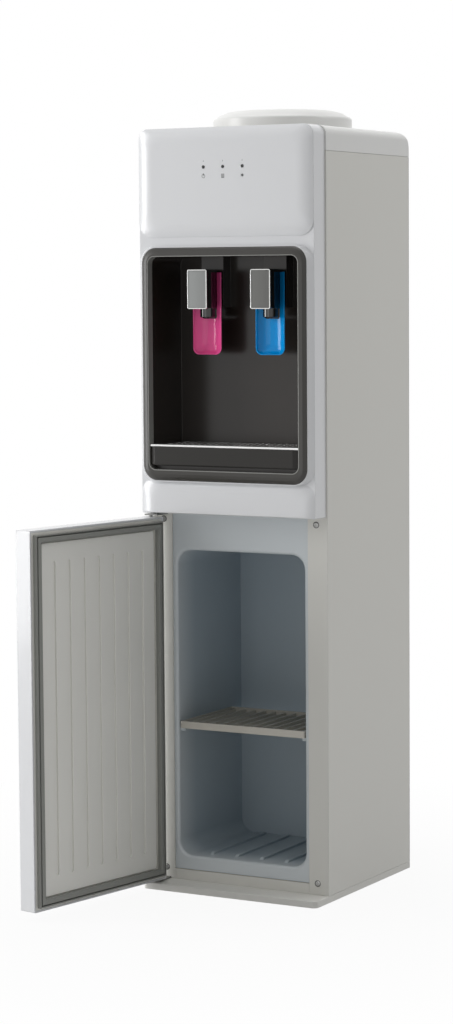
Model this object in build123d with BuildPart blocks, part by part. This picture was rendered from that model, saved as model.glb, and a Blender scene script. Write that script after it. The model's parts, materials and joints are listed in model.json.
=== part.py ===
from build123d import *
import os
from math import asin, cos, hypot, pi, radians, sin, sqrt

# Top-loading water cooler with a small refrigerator below, in millimetres.
# X runs to the right for someone facing the front, Y runs to the back, Z up.
# Y = 0 is the steel face of the cabinet, Z = 0 the floor, X = 0 the middle.
# The door stands open, as the cooler is shown, and swings about its left edge.

os.makedirs("parts", exist_ok=True)

# Cabinet
cabinet_width = 270.0
cabinet_depth = 252.5
cabinet_height = 1040.4
sheet = 1.0
flange_width = 29.8
flange_lip = 9.0
rear_flange = 15.0
seam = 0.3
slack = 0.3

# Base
base_height = 9.3
base_reach = 37.6
base_corner = 7.0
base_floor = 2.5
base_wall = 4.0
base_edge = 1.2

# Top cover
skirt_height = 33.4
cover_wall = 2.5
cover_round = 24.0
cover_edge = 12.0

# Front mouldings
moulding_inset = 2.0
moulding_depth = 31.5
moulding_wall = 2.5
pillow_edge = 32.6
pillow_face = 37.7
pillow_side_bevel = 22.0
pillow_end_bevel = 17.0
pillow_low_corner = 20.0
pillow_high_corner = 14.0
head_height = 145.5
head_opening_inset = 30.0
chin_height = 45.5
chin_top_bevel = 14.0
chin_face = 36.8
strip_height = 14.0

# Bezel and alcove
bezel_inset = 9.4
bezel_height = 314.5
bezel_width = 11.2
bezel_edge = 39.0
bezel_face = 43.5
bezel_corner = 21.0
bezel_inner_corner = 10.0
bezel_sill = 15.0
bezel_rim = 1.5
alcove_back = 38.0
alcove_taper = 4.4
alcove_wall = 2.5
alcove_floor_rise = 5.0
alcove_low_corner = 2.0
boss_width = 34.0
boss_depth = 20.0
boss_drop = 69.0

# Indicator lights
light_pitch = 29.6
light_height_below_top = 53.0
light_radius = 2.2

# Taps
tap_spacing = 97.0
tap_top_below_ceiling = 17.5
tap_width = 30.0
tap_height = 53.0
tap_front = 25.0
tap_cover_thickness = 3.3
tap_back = 1.5
tap_block_half = 11.0
shank_radius = 8.0
shank_reach = 36.0
shank_bore = 4.0
shank_below_top = 27.0
nozzle_radius = 10.5
nozzle_drop = 12.0
nozzle_setback = 4.5
nozzle_bore = 8.0
valve_bore = 6.5
spring_wire = 1.2
spring_coils = 6
pivot_setback = 12.5
pivot_below_top = 12.0
pivot_radius = 2.0
pivot_depth = 3.8
hub_radius = 3.2
hub_gap = 0.4
hub_length = 4.2
paddle_width = 44.0
paddle_depth = 10.0
paddle_height = 111.0
paddle_below_top = 4.0
paddle_gap = 1.0
paddle_wall = 2.0
paddle_toe = 16.0
paddle_corner = 9.0
window_gap = 0.6
running_fit = 0.08

# Drip tray and grate
tray_front = 44.0
tray_gap = 0.8
tray_height = 28.7
tray_wall = 2.0
tray_bevel = 7.5
grate_thickness = 2.6
grate_slot = 3.6
grate_slot_length = 20.0
grate_pitch = 9.0

# Refrigerator
flange_show = 6.7
fridge_bottom = 43.5
fridge_header = 46.8
fridge_rear_room = 73.5
fridge_corner = 20.0
liner_mouth = 4.0
fridge_draft = 1.0
liner_wall = 2.0
liner_front = 2.0
liner_rim_drop = 19.5
liner_rim_lap = 4.0
rib_spacing = 38.7
rib_width = 5.0
rib_height = 3.0
shelf_above_floor = 187.0
shelf_lip = 10.0
shelf_rear_gap = 30.0
shelf_side_gap = 0.6
shelf_plate = 2.5
ledge_width = 7.0
ledge_thickness = 4.0
rail_drop = 20.0
rail_fold = 12.0

# Door
door_gap_below_chin = 6.0
door_bottom = 12.5
door_inset = 2.75
door_rim = 32.0
door_face = 37.0
door_back = 7.05
door_wall = 2.5
door_corner = 6.0
door_open_angle = 100.07
door_pad_side_margin = 20.25
door_pad_end_margin = 18.0
door_pad_rise = 0.4
gasket_margin = 5.85
gasket_width = 10.6
gasket_clearance = 0.9
groove_count = 7
groove_side_margin = 25.0
groove_end_margin = 25.0
groove_width = 5.0
groove_depth = 1.6
groove_edge = 0.7
hinge_inset = 9.77
hinge_y = -22.59
hinge_pin_radius = 2.5
hinge_pin_length = 12.0
hinge_plate = 2.0
hinge_arm_width = 15.0
screw_inset = 17.0
screw_from_top = 8.0
low_screw_z = 25.0
screw_radius = 2.0
screw_head_radius = 3.6

# Bottle seat
seat_radius = 95.7
seat_wall_height = 18.6
seat_crest_height = 27.6
seat_crest_radius = 63.0
seat_thickness = 2.5
socket_radius = 28.5
socket_depth = 52.0
spigot_radius = 87.5
spigot_depth = 8.0
spike_radius = 10.0
spike_height = 48.0
spike_dome = 8.0

# Machine compartment
shelf_sheet = 2.0
low_deck_rise = 12.3
cold_room = 185.4
hot_room = 191.0
deck_front_gap = 5.5
deck_rear_room = 47.5
compressor_x = -40.0
compressor_radius = 58.0
compressor_pipe_gap = 14.0
compressor_headroom = 24.0
dome_height = 40.0
foot_half_x = 64.0
foot_half_y = 42.0
foot_plate_margin = 10.0
weld_lip = 2.5
weld_rise = 46.0
weld_height = 4.0
terminal_reach = 22.0
terminal_half = 22.0
terminal_rise = 20.0
terminal_height = 36.0
hot_tank_radius = 48.0
hot_tank_height = 125.0
hot_insulation = 10.0
vent_offset = 26.0
stub_height = 14.0
tank_front_gap = 3.9
tank_rear_gap = 2.4
cold_tank_height = 134.0
cold_insulation = 12.0
tank_wall = 1.5
outlet_radius = 6.0
outlet_bore = 4.5
outlet_length = 20.0
coil_tube = 7.0
coil_gap_to_tank = 0.3
coil_half_turns = 11
coil_rise = 100.0
coil_above_floor = 16.0
tank_rim = 3.4
baffle_rise = 70.0
baffle_hole = 5.0
pipe_setback = 30.5
hose_radius = 7.5
hose_bend = 10.0
hose_below_deck = 18.0
hose_lead = 12.0
hose_descent = 18.0
pipe_lane = 12.0
drier_lane = 8.0
suction_rise = 80.0
pipe_bend = 8.0
drier_radius = 9.0
drier_length = 56.0
drier_below_top = 14.0
capillary_radius = 1.5
board_rise = 20.0
board_headroom = 31.0
board_front = 80.0
board_back_gap = 32.0
board_thickness = 1.6
board_standoff = 8.0
post_inset = 6.0
relay_height = 22.4

# Back
condenser_tube = 5.0
condenser_setback = 15.5
condenser_side_room = 51.0
condenser_runs = 11
condenser_rise = 79.0
condenser_top_room = 80.4
condenser_inlet_bend = 8.0
wire_radius = 0.8
wire_count = 11
tab_spacing = 120.0
tab_half = 5.0
louvre_rise = 52.0
louvre_rows = 4
louvre_pitch = 12.0
louvre_columns_apart = 80.0
louvre_length = 60.0
louvre_width = 4.0
switch_inset = 29.0
switch_below_top = 140.4
rocker_spacing = 32.0
rocker_half = 6.2
trunnion_radius = 1.5
trunnion_length = 1.2
drain_inset = 25.0
drain_rise = 14.0
drain_tube = 6.0
gland_inset = 27.0
gland_rise = 24.0

# Derived places, from the top downwards and from the back forwards
half_width = cabinet_width / 2
panel_bottom = base_height + 0.1
panel_top = cabinet_height - skirt_height
head_top = cabinet_height + 0.6
head_bottom = head_top - head_height
bezel_top = head_bottom - strip_height
bezel_bottom = bezel_top - bezel_height
chin_bottom = bezel_bottom - chin_height
door_top = chin_bottom - door_gap_below_chin
door_half = half_width - door_inset
door_pad_half = door_half - door_pad_side_margin
gasket_outer = door_half - gasket_margin
hinge_x = -half_width + hinge_inset
screw_x = half_width - screw_inset
moulding_half = half_width - moulding_inset
bezel_half = half_width - bezel_inset
alcove_half = bezel_half - bezel_width
alcove_ceiling = bezel_top - 12.0
bezel_inner_bottom = bezel_bottom + bezel_sill
alcove_floor = bezel_inner_bottom + alcove_floor_rise
tap_top = alcove_ceiling - tap_top_below_ceiling
tap_bottom = tap_top - tap_height
boss_bottom = alcove_ceiling - boss_drop
boss_front = alcove_back - boss_depth
pivot_z = tap_top - pivot_below_top
shank_z = tap_top - shank_below_top
shank_end = boss_front + shank_reach
tray_top = alcove_floor + tray_height
fridge_half = half_width - flange_width - flange_show
fridge_top = door_top - fridge_header
fridge_back = cabinet_depth - fridge_rear_room
liner_rim_top = chin_bottom + liner_rim_lap
shelf_top = fridge_bottom + shelf_above_floor
rail_bottom = liner_rim_top + 0.1
flange_cut = alcove_half + alcove_wall + 4.0
shelf_front = liner_front + 1.0
shelf_rear = fridge_back - shelf_rear_gap
low_deck = fridge_top + low_deck_rise
top_deck = cabinet_height - cold_room
mid_deck = top_deck - hot_room
deck_front = alcove_back + alcove_wall + deck_front_gap
deck_back = cabinet_depth - deck_rear_room
pipe_y = cabinet_depth - pipe_setback
jacket_front = alcove_back + alcove_wall + tank_front_gap
jacket_back = pipe_y - tank_rear_gap
seat_y = (jacket_front + jacket_back) / 2
cold_jacket = (jacket_back - jacket_front) / 2
coil_radius = cold_jacket - cold_insulation - coil_gap_to_tank - coil_tube / 2
cold_tank_radius = coil_radius - coil_tube / 2 - coil_gap_to_tank
compressor_y = pipe_y - compressor_pipe_gap - compressor_radius
condenser_y = cabinet_depth + condenser_setback
condenser_half = half_width - condenser_side_room
condenser_bottom = low_deck + condenser_rise
condenser_top = cabinet_height - condenser_top_room
condenser_pitch = (condenser_top - condenser_bottom) / (condenser_runs - 1)
condenser_bend = 0.4 * condenser_pitch
switch_x = -half_width + switch_inset
switch_z = cabinet_height - switch_below_top
drain_x = -half_width + drain_inset
drain_z = mid_deck + shelf_sheet + hot_insulation + drain_rise
gland_x = half_width - gland_inset
gland_z = low_deck + gland_rise
seat_z = cabinet_height + slack


def save(piece, name):
    """Label a finished piece and write it."""
    piece.part.label = name
    export_step(piece.part, f"parts/{name}.step")


def front(y):
    """Plane at a depth, seen from the front: local x is X, local y is Z."""
    return Plane.XZ.offset(-y)


def block(x0, x1, y0, y1, z0, z1, mode=Mode.ADD):
    with Locations(((x0 + x1) / 2, (y0 + y1) / 2, (z0 + z1) / 2)):
        Box(abs(x1 - x0), abs(y1 - y0), abs(z1 - z0), mode=mode)


def rod_x(y, z, radius, x0, x1, mode=Mode.ADD):
    with BuildSketch(Plane.YZ.offset(x0)) as section:
        with Locations((y, z)):
            Circle(radius)
    extrude(section.sketch, amount=x1 - x0, mode=mode)


def rod_y(x, z, radius, y0, y1, mode=Mode.ADD):
    with BuildSketch(front(y1)) as section:
        with Locations((x, z)):
            Circle(radius)
    extrude(section.sketch, amount=y1 - y0, mode=mode)


def rod_z(x, y, radius, z0, z1, mode=Mode.ADD):
    with BuildSketch(Plane.XY.offset(z0)) as section:
        with Locations((x, y)):
            Circle(radius)
    extrude(section.sketch, amount=z1 - z0, mode=mode)


def outline(half, bottom, top, low_corner, high_corner):
    """Rectangle with its own radius below and above, in the plane of a front view."""
    with Locations((0, (bottom + top) / 2)):
        Rectangle(2 * half, top - bottom)
    fillet(vertices().group_by(Axis.Y)[0], low_corner)
    fillet(vertices().group_by(Axis.Y)[-1], high_corner)


def pillow(plane_at, half, bottom, top, edge_y, face_y, side, low, high, low_corner, high_corner):
    """Raised panel face with soft bevels, lofted from its rim to its flat field."""
    rise = edge_y - face_y
    sections = []
    for share, lift in ((0.0, 0.0), (0.3, 0.5), (1.0, 1.0)):
        with BuildSketch(plane_at(edge_y - lift * rise)) as section:
            outline(
                half - share * side,
                bottom + share * low,
                top - share * high,
                low_corner,
                high_corner,
            )
        sections.append(section.sketch.face())
    loft(sections)


def tube(points, radius, bend, mode=Mode.ADD):
    """Round bar along straight runs joined by tangent arcs."""
    with BuildLine() as route:
        if len(points) > 2:
            FilletPolyline(*points, radius=bend)
        else:
            Line(*points)
    with BuildSketch(Plane(origin=route.line @ 0, z_dir=route.line % 0)) as section:
        Circle(radius)
    sweep(section.sketch, path=route.line, mode=mode)


def coil(x, y, radius, z0, half_turns, rise, wire, lead_in=0.0, lead_out=0.0):
    """Unbroken coil of tilted half turns, each one arc, with straight ends along Y."""
    step = rise / half_turns
    with BuildLine() as route:
        if lead_in:
            Line((x + radius, y + lead_in, z0), (x + radius, y, z0))
        for turn in range(half_turns):
            side = 1 if turn % 2 == 0 else -1
            low = z0 + turn * step
            reach = hypot(2 * radius, step) / 2
            ThreePointArc(
                (x + side * radius, y, low),
                (x, y - side * reach, low + step / 2),
                (x - side * radius, y, low + step),
            )
        if lead_out:
            end_x = x - radius if half_turns % 2 else x + radius
            Line((end_x, y, z0 + rise), (end_x, y + lead_out, z0 + rise))
    with BuildSketch(Plane(origin=route.line @ 0, z_dir=route.line % 0)) as section:
        Circle(wire / 2)
    sweep(section.sketch, path=route.line)
    return 2 * step - wire


def crown_middle(radius, height):
    """Middle of a dome's profile: how far out from the axis, and how far below the top."""
    ball = (radius**2 + height**2) / (2 * height)
    middle = (asin((ball - height) / ball) + pi / 2) / 2
    return ball * cos(middle), ball * (1 - sin(middle))


# Base: a moulded tray whose pockets open upwards under the cabinet
with BuildPart() as base_plinth:
    with BuildSketch():
        with Locations((0, (cabinet_depth - base_reach) / 2)):
            Rectangle(cabinet_width, cabinet_depth + base_reach)
        fillet(vertices().group_by(Axis.Y)[0], base_corner)
    extrude(amount=base_height)
    front_top = base_plinth.edges().filter_by(Plane.XY).group_by(Axis.Z)[-1]
    fillet(front_top.sort_by(Axis.Y)[0], base_edge)
    pocket_w = (cabinet_width - 4 * base_wall) / 3
    pocket_d = (cabinet_depth - 4 * base_wall) / 3
    with BuildSketch(Plane.XY.offset(base_height)):
        with Locations((0, cabinet_depth / 2)):
            with GridLocations(pocket_w + base_wall, pocket_d + base_wall, 3, 3):
                Rectangle(pocket_w, pocket_d)
    extrude(amount=base_floor - base_height, mode=Mode.SUBTRACT)
save(base_plinth, "base_plinth")


def side_panel(side):
    """Folded steel side with its front flange, seen round the refrigerator, and a rear flange."""
    inner = half_width - sheet
    lip_x = half_width - flange_width
    rear = cabinet_depth - sheet
    with BuildPart() as panel:
        with BuildSketch(Plane.XY.offset(panel_bottom)):
            with BuildLine():
                Polyline(
                    (side * lip_x, flange_lip),
                    (side * lip_x, 0),
                    (side * half_width, 0),
                    (side * half_width, rear),
                    (side * (half_width - rear_flange), rear),
                    (side * (half_width - rear_flange), rear - sheet),
                    (side * inner, rear - sheet),
                    (side * inner, sheet),
                    (side * (lip_x + sheet), sheet),
                    (side * (lip_x + sheet), flange_lip),
                    close=True,
                )
            make_face()
        extrude(amount=panel_top - seam - panel_bottom)
        block(side * (lip_x - 1), side * flange_cut, -1, flange_lip + 1, rail_bottom - slack, panel_top,
              mode=Mode.SUBTRACT)
        for z in (high_screw_z, low_screw_z):
            rod_y(side * screw_x, z, screw_radius + 0.1, -1, sheet + 1, mode=Mode.SUBTRACT)
        if side < 0:
            for z0 in hinge_arm_levels:
                block(-half_width + 3, hinge_arm_right + 0.5, -1, sheet + 0.5, z0 - 0.2,
                      z0 + hinge_plate + 0.2, mode=Mode.SUBTRACT)
    return panel


# Hinge arms: one above the door and one below it, each folded behind the flange
hinge_arm_levels = (base_height + 0.2, door_top + 2.0)
hinge_arm_right = -half_width + 3.0 + hinge_arm_width + 5.0
high_screw_z = door_top + hinge_plate / 2 + 2.5 - screw_from_top
save(side_panel(-1), "side_panel_left")
save(side_panel(1), "side_panel_right")

# Back panel with louvres and the pressed tabs that hold the condenser
with BuildPart() as back_panel:
    block(-half_width, half_width, cabinet_depth - sheet, cabinet_depth, panel_bottom, panel_top - seam)
    with BuildSketch(front(cabinet_depth + 1)):
        with Locations((0, low_deck + louvre_rise)):
            with GridLocations(louvre_columns_apart, louvre_pitch, 2, louvre_rows):
                SlotOverall(louvre_length, louvre_width)
    extrude(amount=sheet + 2, mode=Mode.SUBTRACT)
    for x in (-tab_spacing / 2, tab_spacing / 2):
        for z in (condenser_bottom + 1.5 * condenser_pitch, condenser_top - 1.5 * condenser_pitch):
            block(x - tab_half, x + tab_half, cabinet_depth - sheet / 2,
                  condenser_y - condenser_tube / 2 - 2 * wire_radius - 0.2, z - 1, z + 1)
    rod_y(-condenser_half, condenser_bottom, condenser_tube / 2 + 1, cabinet_depth - 2, cabinet_depth + 1,
          mode=Mode.SUBTRACT)
    rod_y(condenser_half, condenser_top, condenser_tube / 2 + 1, cabinet_depth - 2, cabinet_depth + 1,
          mode=Mode.SUBTRACT)
    block(switch_x - 9, switch_x + 9, cabinet_depth - 2, cabinet_depth + 1, switch_z - 33, switch_z + 33,
          mode=Mode.SUBTRACT)
    rod_y(drain_x, drain_z, 8.4, cabinet_depth - 2, cabinet_depth + 1, mode=Mode.SUBTRACT)
    rod_y(gland_x, gland_z, 6.4, cabinet_depth - 2, cabinet_depth + 1, mode=Mode.SUBTRACT)
save(back_panel, "back_panel")


def cover_form(inset):
    """Form of the top cover, rounded along its sides and rolled over at the back."""
    with BuildPart() as form:
        with BuildSketch(Plane.YZ.offset(-half_width + inset)) as section:
            with BuildLine():
                Polyline(
                    (inset, panel_top - inset),
                    (inset, cabinet_height - inset),
                    (cabinet_depth - inset, cabinet_height - inset),
                    (cabinet_depth - inset, panel_top - inset),
                    close=True,
                )
            make_face()
            fillet(vertices().group_by(Axis.Y)[-1].sort_by(Axis.X)[-1], cover_round - inset)
        extrude(section.sketch, amount=cabinet_width - 2 * inset)
        with BuildSketch(front(inset)) as section:
            outline(half_width - inset, panel_top - inset, cabinet_height - inset, 0.5, cover_edge - inset)
        extrude(section.sketch, amount=inset - cabinet_depth, mode=Mode.INTERSECT)
    return form.part


# Top cover, an open shell with the hole for the bottle seat
with BuildPart() as top_cover:
    add(cover_form(0.0))
    add(cover_form(cover_wall), mode=Mode.SUBTRACT)
    rod_z(0, seat_y, spigot_radius + 2 * slack, cabinet_height - 10, cabinet_height + 1, mode=Mode.SUBTRACT)
save(top_cover, "top_cover")

# Head panel: the raised top fascia, a hollow cap on the front frame
light_z = head_top - light_height_below_top
with BuildPart() as head_panel:
    with BuildSketch(front(-moulding_depth)):
        outline(moulding_half, head_bottom, head_top, pillow_low_corner, pillow_high_corner)
    extrude(amount=pillow_edge - moulding_depth)
    pillow(front, moulding_half, head_bottom, head_top, -pillow_edge, -pillow_face,
           pillow_side_bevel, pillow_end_bevel, pillow_end_bevel, pillow_low_corner, pillow_high_corner)
    with BuildSketch(front(-moulding_depth)):
        outline(moulding_half - pillow_side_bevel, head_bottom + pillow_end_bevel,
                head_top - pillow_end_bevel, 4.0, 4.0)
    extrude(amount=pillow_face - moulding_depth - moulding_wall, mode=Mode.SUBTRACT)
    for column in (-1, 0, 1):
        rod_y(column * light_pitch, light_z, light_radius, -pillow_face - 1, 0, mode=Mode.SUBTRACT)
save(head_panel, "head_panel")

with BuildPart() as led_lenses:
    for column in (-1, 0, 1):
        rod_y(column * light_pitch, light_z, light_radius - 0.05, -pillow_face - 0.4, -pillow_face + 4.0)
        rod_y(column * light_pitch, light_z, light_radius + 1.0, -pillow_face + moulding_wall,
              -pillow_face + 4.0)
save(led_lenses, "led_lenses")

with BuildPart() as led_board:
    board_y = -pillow_face + 4.0
    block(-light_pitch - 12, light_pitch + 12, board_y, board_y + 1.6, light_z - 12, light_z + 12)
    for x in (-light_pitch - 8, light_pitch + 8):
        rod_y(x, light_z - 6, 3.0, -pillow_face + moulding_wall, board_y)
    block(-8, 8, board_y + 1.6, board_y + 8, light_z - 10, light_z - 3)
save(led_board, "led_board")

# Front frame: sides, the backing of the head, the strip over the bezel and the raised chin
frame_hole_half = alcove_half + alcove_wall + 1.2
frame_hole_bottom = alcove_floor - alcove_wall - 6.0
frame_hole_top = alcove_ceiling + alcove_wall + 5.0
with BuildPart() as front_frame:
    with BuildSketch(front(0)):
        outline(moulding_half, chin_bottom, head_top, 1.0, pillow_high_corner)
    extrude(amount=moulding_depth)
    with BuildSketch(front(-moulding_depth)):
        outline(moulding_half - 0.2, bezel_bottom - bezel_rim, bezel_top + bezel_rim,
                bezel_corner + bezel_rim, bezel_corner + bezel_rim)
    with BuildSketch(front(-bezel_edge)):
        outline(bezel_half + 1.0, bezel_bottom - bezel_rim, bezel_top + bezel_rim,
                bezel_corner + bezel_rim, bezel_corner + bezel_rim)
    loft(ruled=True)
    pillow(front, moulding_half - 0.1, chin_bottom, bezel_bottom, -moulding_depth, -chin_face,
           pillow_side_bevel, 2.0, chin_top_bevel, 3.0, 16.0)
    with BuildSketch(front(-moulding_depth)):
        outline(bezel_half, bezel_bottom, bezel_top, bezel_corner, bezel_corner)
    extrude(amount=bezel_edge, mode=Mode.SUBTRACT)
    with BuildSketch(front(0.5)):
        outline(frame_hole_half, frame_hole_bottom, frame_hole_top, bezel_inner_corner, bezel_inner_corner)
    extrude(amount=moulding_depth + 2, mode=Mode.SUBTRACT)
    rim_depth = moulding_depth - moulding_wall
    side_room = moulding_half - frame_hole_half - 2 * moulding_wall
    for side in (-1, 1):
        middle = side * (frame_hole_half + moulding_wall + side_room / 2)
        block(middle - side_room / 2, middle + side_room / 2, -rim_depth, 1,
              frame_hole_bottom, frame_hole_top, mode=Mode.SUBTRACT)
    block(-moulding_half + moulding_wall, moulding_half - moulding_wall, -rim_depth, 1,
          chin_bottom + moulding_wall, frame_hole_bottom - moulding_wall, mode=Mode.SUBTRACT)
    block(-moulding_half + moulding_wall, moulding_half - moulding_wall, -rim_depth, 1,
          frame_hole_top + moulding_wall, head_top - pillow_high_corner, mode=Mode.SUBTRACT)
    block(-moulding_half + head_opening_inset, moulding_half - head_opening_inset, -moulding_depth - 1, 1,
          head_bottom + head_opening_inset, head_top - head_opening_inset, mode=Mode.SUBTRACT)
save(front_frame, "front_frame")

# Bezel: the dark rounded ring round the dispensing alcove
with BuildPart() as bezel:
    with BuildSketch(front(-moulding_depth)):
        outline(bezel_half, bezel_bottom, bezel_top, bezel_corner, bezel_corner)
    extrude(amount=bezel_edge - moulding_depth)
    ring_rise = bezel_face - bezel_edge
    for inset, lift in ((0.0, 0.0), (2.0, 0.45), (5.0, 0.85), (9.0, 1.0)):
        corner = max(bezel_corner - inset, bezel_inner_corner)
        with BuildSketch(front(-bezel_edge - lift * ring_rise)):
            outline(bezel_half - inset, bezel_bottom + inset, bezel_top - inset, corner, corner)
    loft(ruled=True)
    with BuildSketch(front(1 - moulding_depth)):
        outline(alcove_half, bezel_inner_bottom, alcove_ceiling, bezel_inner_corner, bezel_inner_corner)
    extrude(amount=bezel_face + 2, mode=Mode.SUBTRACT)
save(bezel, "bezel")

# Alcove liner: tapered niche with two hollow bosses for the taps
tap_centres = (-tap_spacing / 2, tap_spacing / 2)
with BuildPart() as alcove_liner:
    for extra, y in ((alcove_wall, -moulding_depth), (alcove_wall, alcove_back + alcove_wall)):
        share = (y + moulding_depth) / (alcove_back + moulding_depth)
        with BuildSketch(front(y)):
            outline(alcove_half - share * alcove_taper + extra, alcove_floor - extra,
                    alcove_ceiling + extra, alcove_low_corner + extra, bezel_inner_corner + extra)
    loft(ruled=True)
    with BuildSketch(front(alcove_wall - moulding_depth)):
        outline(frame_hole_half - 0.3, frame_hole_bottom + 0.3, frame_hole_top - 0.3,
                bezel_inner_corner, bezel_inner_corner)
    extrude(amount=alcove_wall)
    for y in (-moulding_depth - 0.01, alcove_back):
        share = (y + moulding_depth) / (alcove_back + moulding_depth)
        with BuildSketch(front(y)):
            outline(alcove_half - share * alcove_taper, alcove_floor, alcove_ceiling,
                    alcove_low_corner, bezel_inner_corner)
    loft(ruled=True, mode=Mode.SUBTRACT)
    for x in tap_centres:
        block(x - boss_width / 2, x + boss_width / 2, boss_front, alcove_back + 1, boss_bottom,
              alcove_ceiling + 1)
        block(x - boss_width / 2 + alcove_wall, x + boss_width / 2 - alcove_wall,
              boss_front + alcove_wall, alcove_back + alcove_wall + 1, boss_bottom + alcove_wall,
              alcove_ceiling - alcove_wall, mode=Mode.SUBTRACT)
        rod_y(x, shank_z, shank_radius + 0.1, boss_front - 1, boss_front + alcove_wall + 1,
              mode=Mode.SUBTRACT)
save(alcove_liner, "alcove_liner")


def tap_body(x):
    """Tap moulding: front block, valve block over the spout, and the threaded shank."""
    with BuildPart() as body:
        block(x - tap_width / 2 + 0.5, x + tap_width / 2 - 0.5, tap_cover_thickness - tap_front,
              tap_back, tap_bottom + 1, tap_top - 1.6)
        block(x - tap_block_half, x + tap_block_half, tap_back - 1, boss_front, tap_bottom,
              tap_top - 4)
        rod_z(x, nozzle_setback, nozzle_radius, tap_bottom - nozzle_drop, tap_bottom + 1)
        chamfer(body.edges().filter_by(GeomType.CIRCLE).group_by(Axis.Z)[0], 1.2)
        rod_y(x, shank_z, shank_radius, boss_front - 1, shank_end)
        rod_y(x, shank_z, shank_bore, nozzle_setback, shank_end + 1, mode=Mode.SUBTRACT)
        rod_z(x, nozzle_setback, valve_bore, tap_bottom + 7, tap_top, mode=Mode.SUBTRACT)
        rod_z(x, nozzle_setback, 3.5, tap_bottom, tap_bottom + 8, mode=Mode.SUBTRACT)
        rod_z(x, nozzle_setback, nozzle_bore, tap_bottom - nozzle_drop - 1, tap_bottom + 4.5,
              mode=Mode.SUBTRACT)
        for side in (-1, 1):
            bore_start = x + side * (tap_block_half - pivot_depth)
            bore_end = x + side * (tap_block_half + 1)
            rod_x(pivot_setback, pivot_z, pivot_radius + running_fit / 2, bore_start, bore_end,
                  mode=Mode.SUBTRACT)
    return body


def tap_cover(x):
    """Bright cap: a plate with a proud polished rim, and a lip that closes the valve chamber."""
    with BuildPart() as cover:
        with BuildSketch(front(tap_cover_thickness - tap_front)):
            with Locations((x, (tap_top + tap_bottom) / 2)):
                RectangleRounded(tap_width, tap_height, 2.5)
        extrude(amount=tap_cover_thickness)
        with BuildSketch(front(-tap_front - 0.01)):
            with Locations((x, (tap_top + tap_bottom) / 2)):
                RectangleRounded(tap_width - 4, tap_height - 4, 1.5)
        extrude(amount=-0.7, mode=Mode.SUBTRACT)
        block(x - tap_width / 2 + 1, x + tap_width / 2 - 1, tap_cover_thickness - tap_front - 0.5,
              tap_back, tap_top - 1.5, tap_top)
        block(x - tap_block_half, x + tap_block_half, tap_back - 0.5, boss_front - slack,
              tap_top - 1.5, tap_top)
    return cover


def plunger(x):
    """Valve plunger: a disc under the seat, its stem and a button that the spring lifts."""
    with BuildPart() as stem:
        rod_z(x, nozzle_setback, 6.2, tap_bottom + 2.0, tap_bottom + 4.2)
        rod_z(x, nozzle_setback, 1.8, tap_bottom + 4.0, tap_top - 7.0)
        rod_z(x, nozzle_setback, 5.8, tap_top - 9.0, tap_top - 7.0)
    return stem


def spring(x):
    """Spring round the plunger, between the chamber's floor and the button."""
    with BuildPart() as wound:
        room = (tap_top - 9.0) - (tap_bottom + 7.0) - spring_wire
        gap = coil(x, nozzle_setback, 4.7, tap_bottom + 7.0 + spring_wire / 2 + 0.1,
                   2 * spring_coils, room - 0.2, spring_wire)
    print(f"spring: least gap between turns {gap:.2f} mm")
    return wound


def paddle_sections(x, top, bottom, rim_y, inset):
    """Front outlines of the scoop at growing depths, shrinking along a quarter ellipse."""
    sections = []
    for depth in (0.0, 0.3, 0.56, 0.78, 0.92, 0.98):
        share = sqrt(1 - depth**2)
        half = share * paddle_width / 2 - inset
        foot = bottom + (1 - share) * paddle_toe + inset
        with BuildSketch(front(rim_y + depth * paddle_depth)) as section:
            with Locations((x, (top + foot) / 2)):
                Rectangle(2 * half, top - foot)
            fillet(vertices().group_by(Axis.Y)[0], min(0.9 * half, share * paddle_corner))
        sections.append(section.sketch.face())
    return sections


def paddle(x):
    """Push paddle: a scooped plate round the spout, hung by two hubs behind its face."""
    top = tap_top - paddle_below_top
    bottom = top - paddle_height
    rim_y = tap_back + paddle_gap
    window = tap_block_half + window_gap
    window_bottom = tap_bottom - nozzle_drop - 1.5
    with BuildPart() as scoop:
        loft(paddle_sections(x, top, bottom, rim_y, 0.0))
        loft(paddle_sections(x, top + 1, bottom, rim_y - paddle_wall, 0.4 * paddle_wall), mode=Mode.SUBTRACT)
        with BuildSketch(front(rim_y + paddle_depth + 1)):
            with Locations((x, (window_bottom + top + 1) / 2)):
                Rectangle(2 * window, top + 1 - window_bottom)
            fillet(vertices().group_by(Axis.Y)[0], 3.0)
        extrude(amount=paddle_depth + 2, mode=Mode.SUBTRACT)
        for side in (-1, 1):
            hub_start = x + side * (tap_block_half + hub_gap)
            hub_end = hub_start + side * hub_length
            rod_x(pivot_setback, pivot_z, hub_radius, hub_start, hub_end)
            rod_x(pivot_setback, pivot_z, pivot_radius + running_fit, hub_start - side, hub_end - side,
                  mode=Mode.SUBTRACT)
    return scoop


for side, x in (("hot", tap_centres[0]), ("cold", tap_centres[1])):
    save(tap_body(x), f"{side}_tap_body")
    save(tap_cover(x), f"{side}_tap_cover")
    save(plunger(x), f"{side}_tap_plunger")
    save(spring(x), f"{side}_tap_spring")
    save(paddle(x), f"{side}_paddle")

with BuildPart() as tap_pins:
    for x in tap_centres:
        for side in (-1, 1):
            rod_x(pivot_setback, pivot_z, pivot_radius, x + side * (tap_block_half - pivot_depth + 0.1),
                  x + side * (tap_block_half + hub_gap + hub_length - 1.2))
save(tap_pins, "tap_pins")

with BuildPart() as tap_nuts:
    nut_face = boss_front + alcove_wall
    with BuildSketch(front(nut_face + 7)):
        for x in tap_centres:
            with Locations((x, shank_z)):
                RegularPolygon(13.0, 6)
                Circle(shank_radius + 0.05, mode=Mode.SUBTRACT)
    extrude(amount=7)
save(tap_nuts, "tap_nuts")


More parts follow.
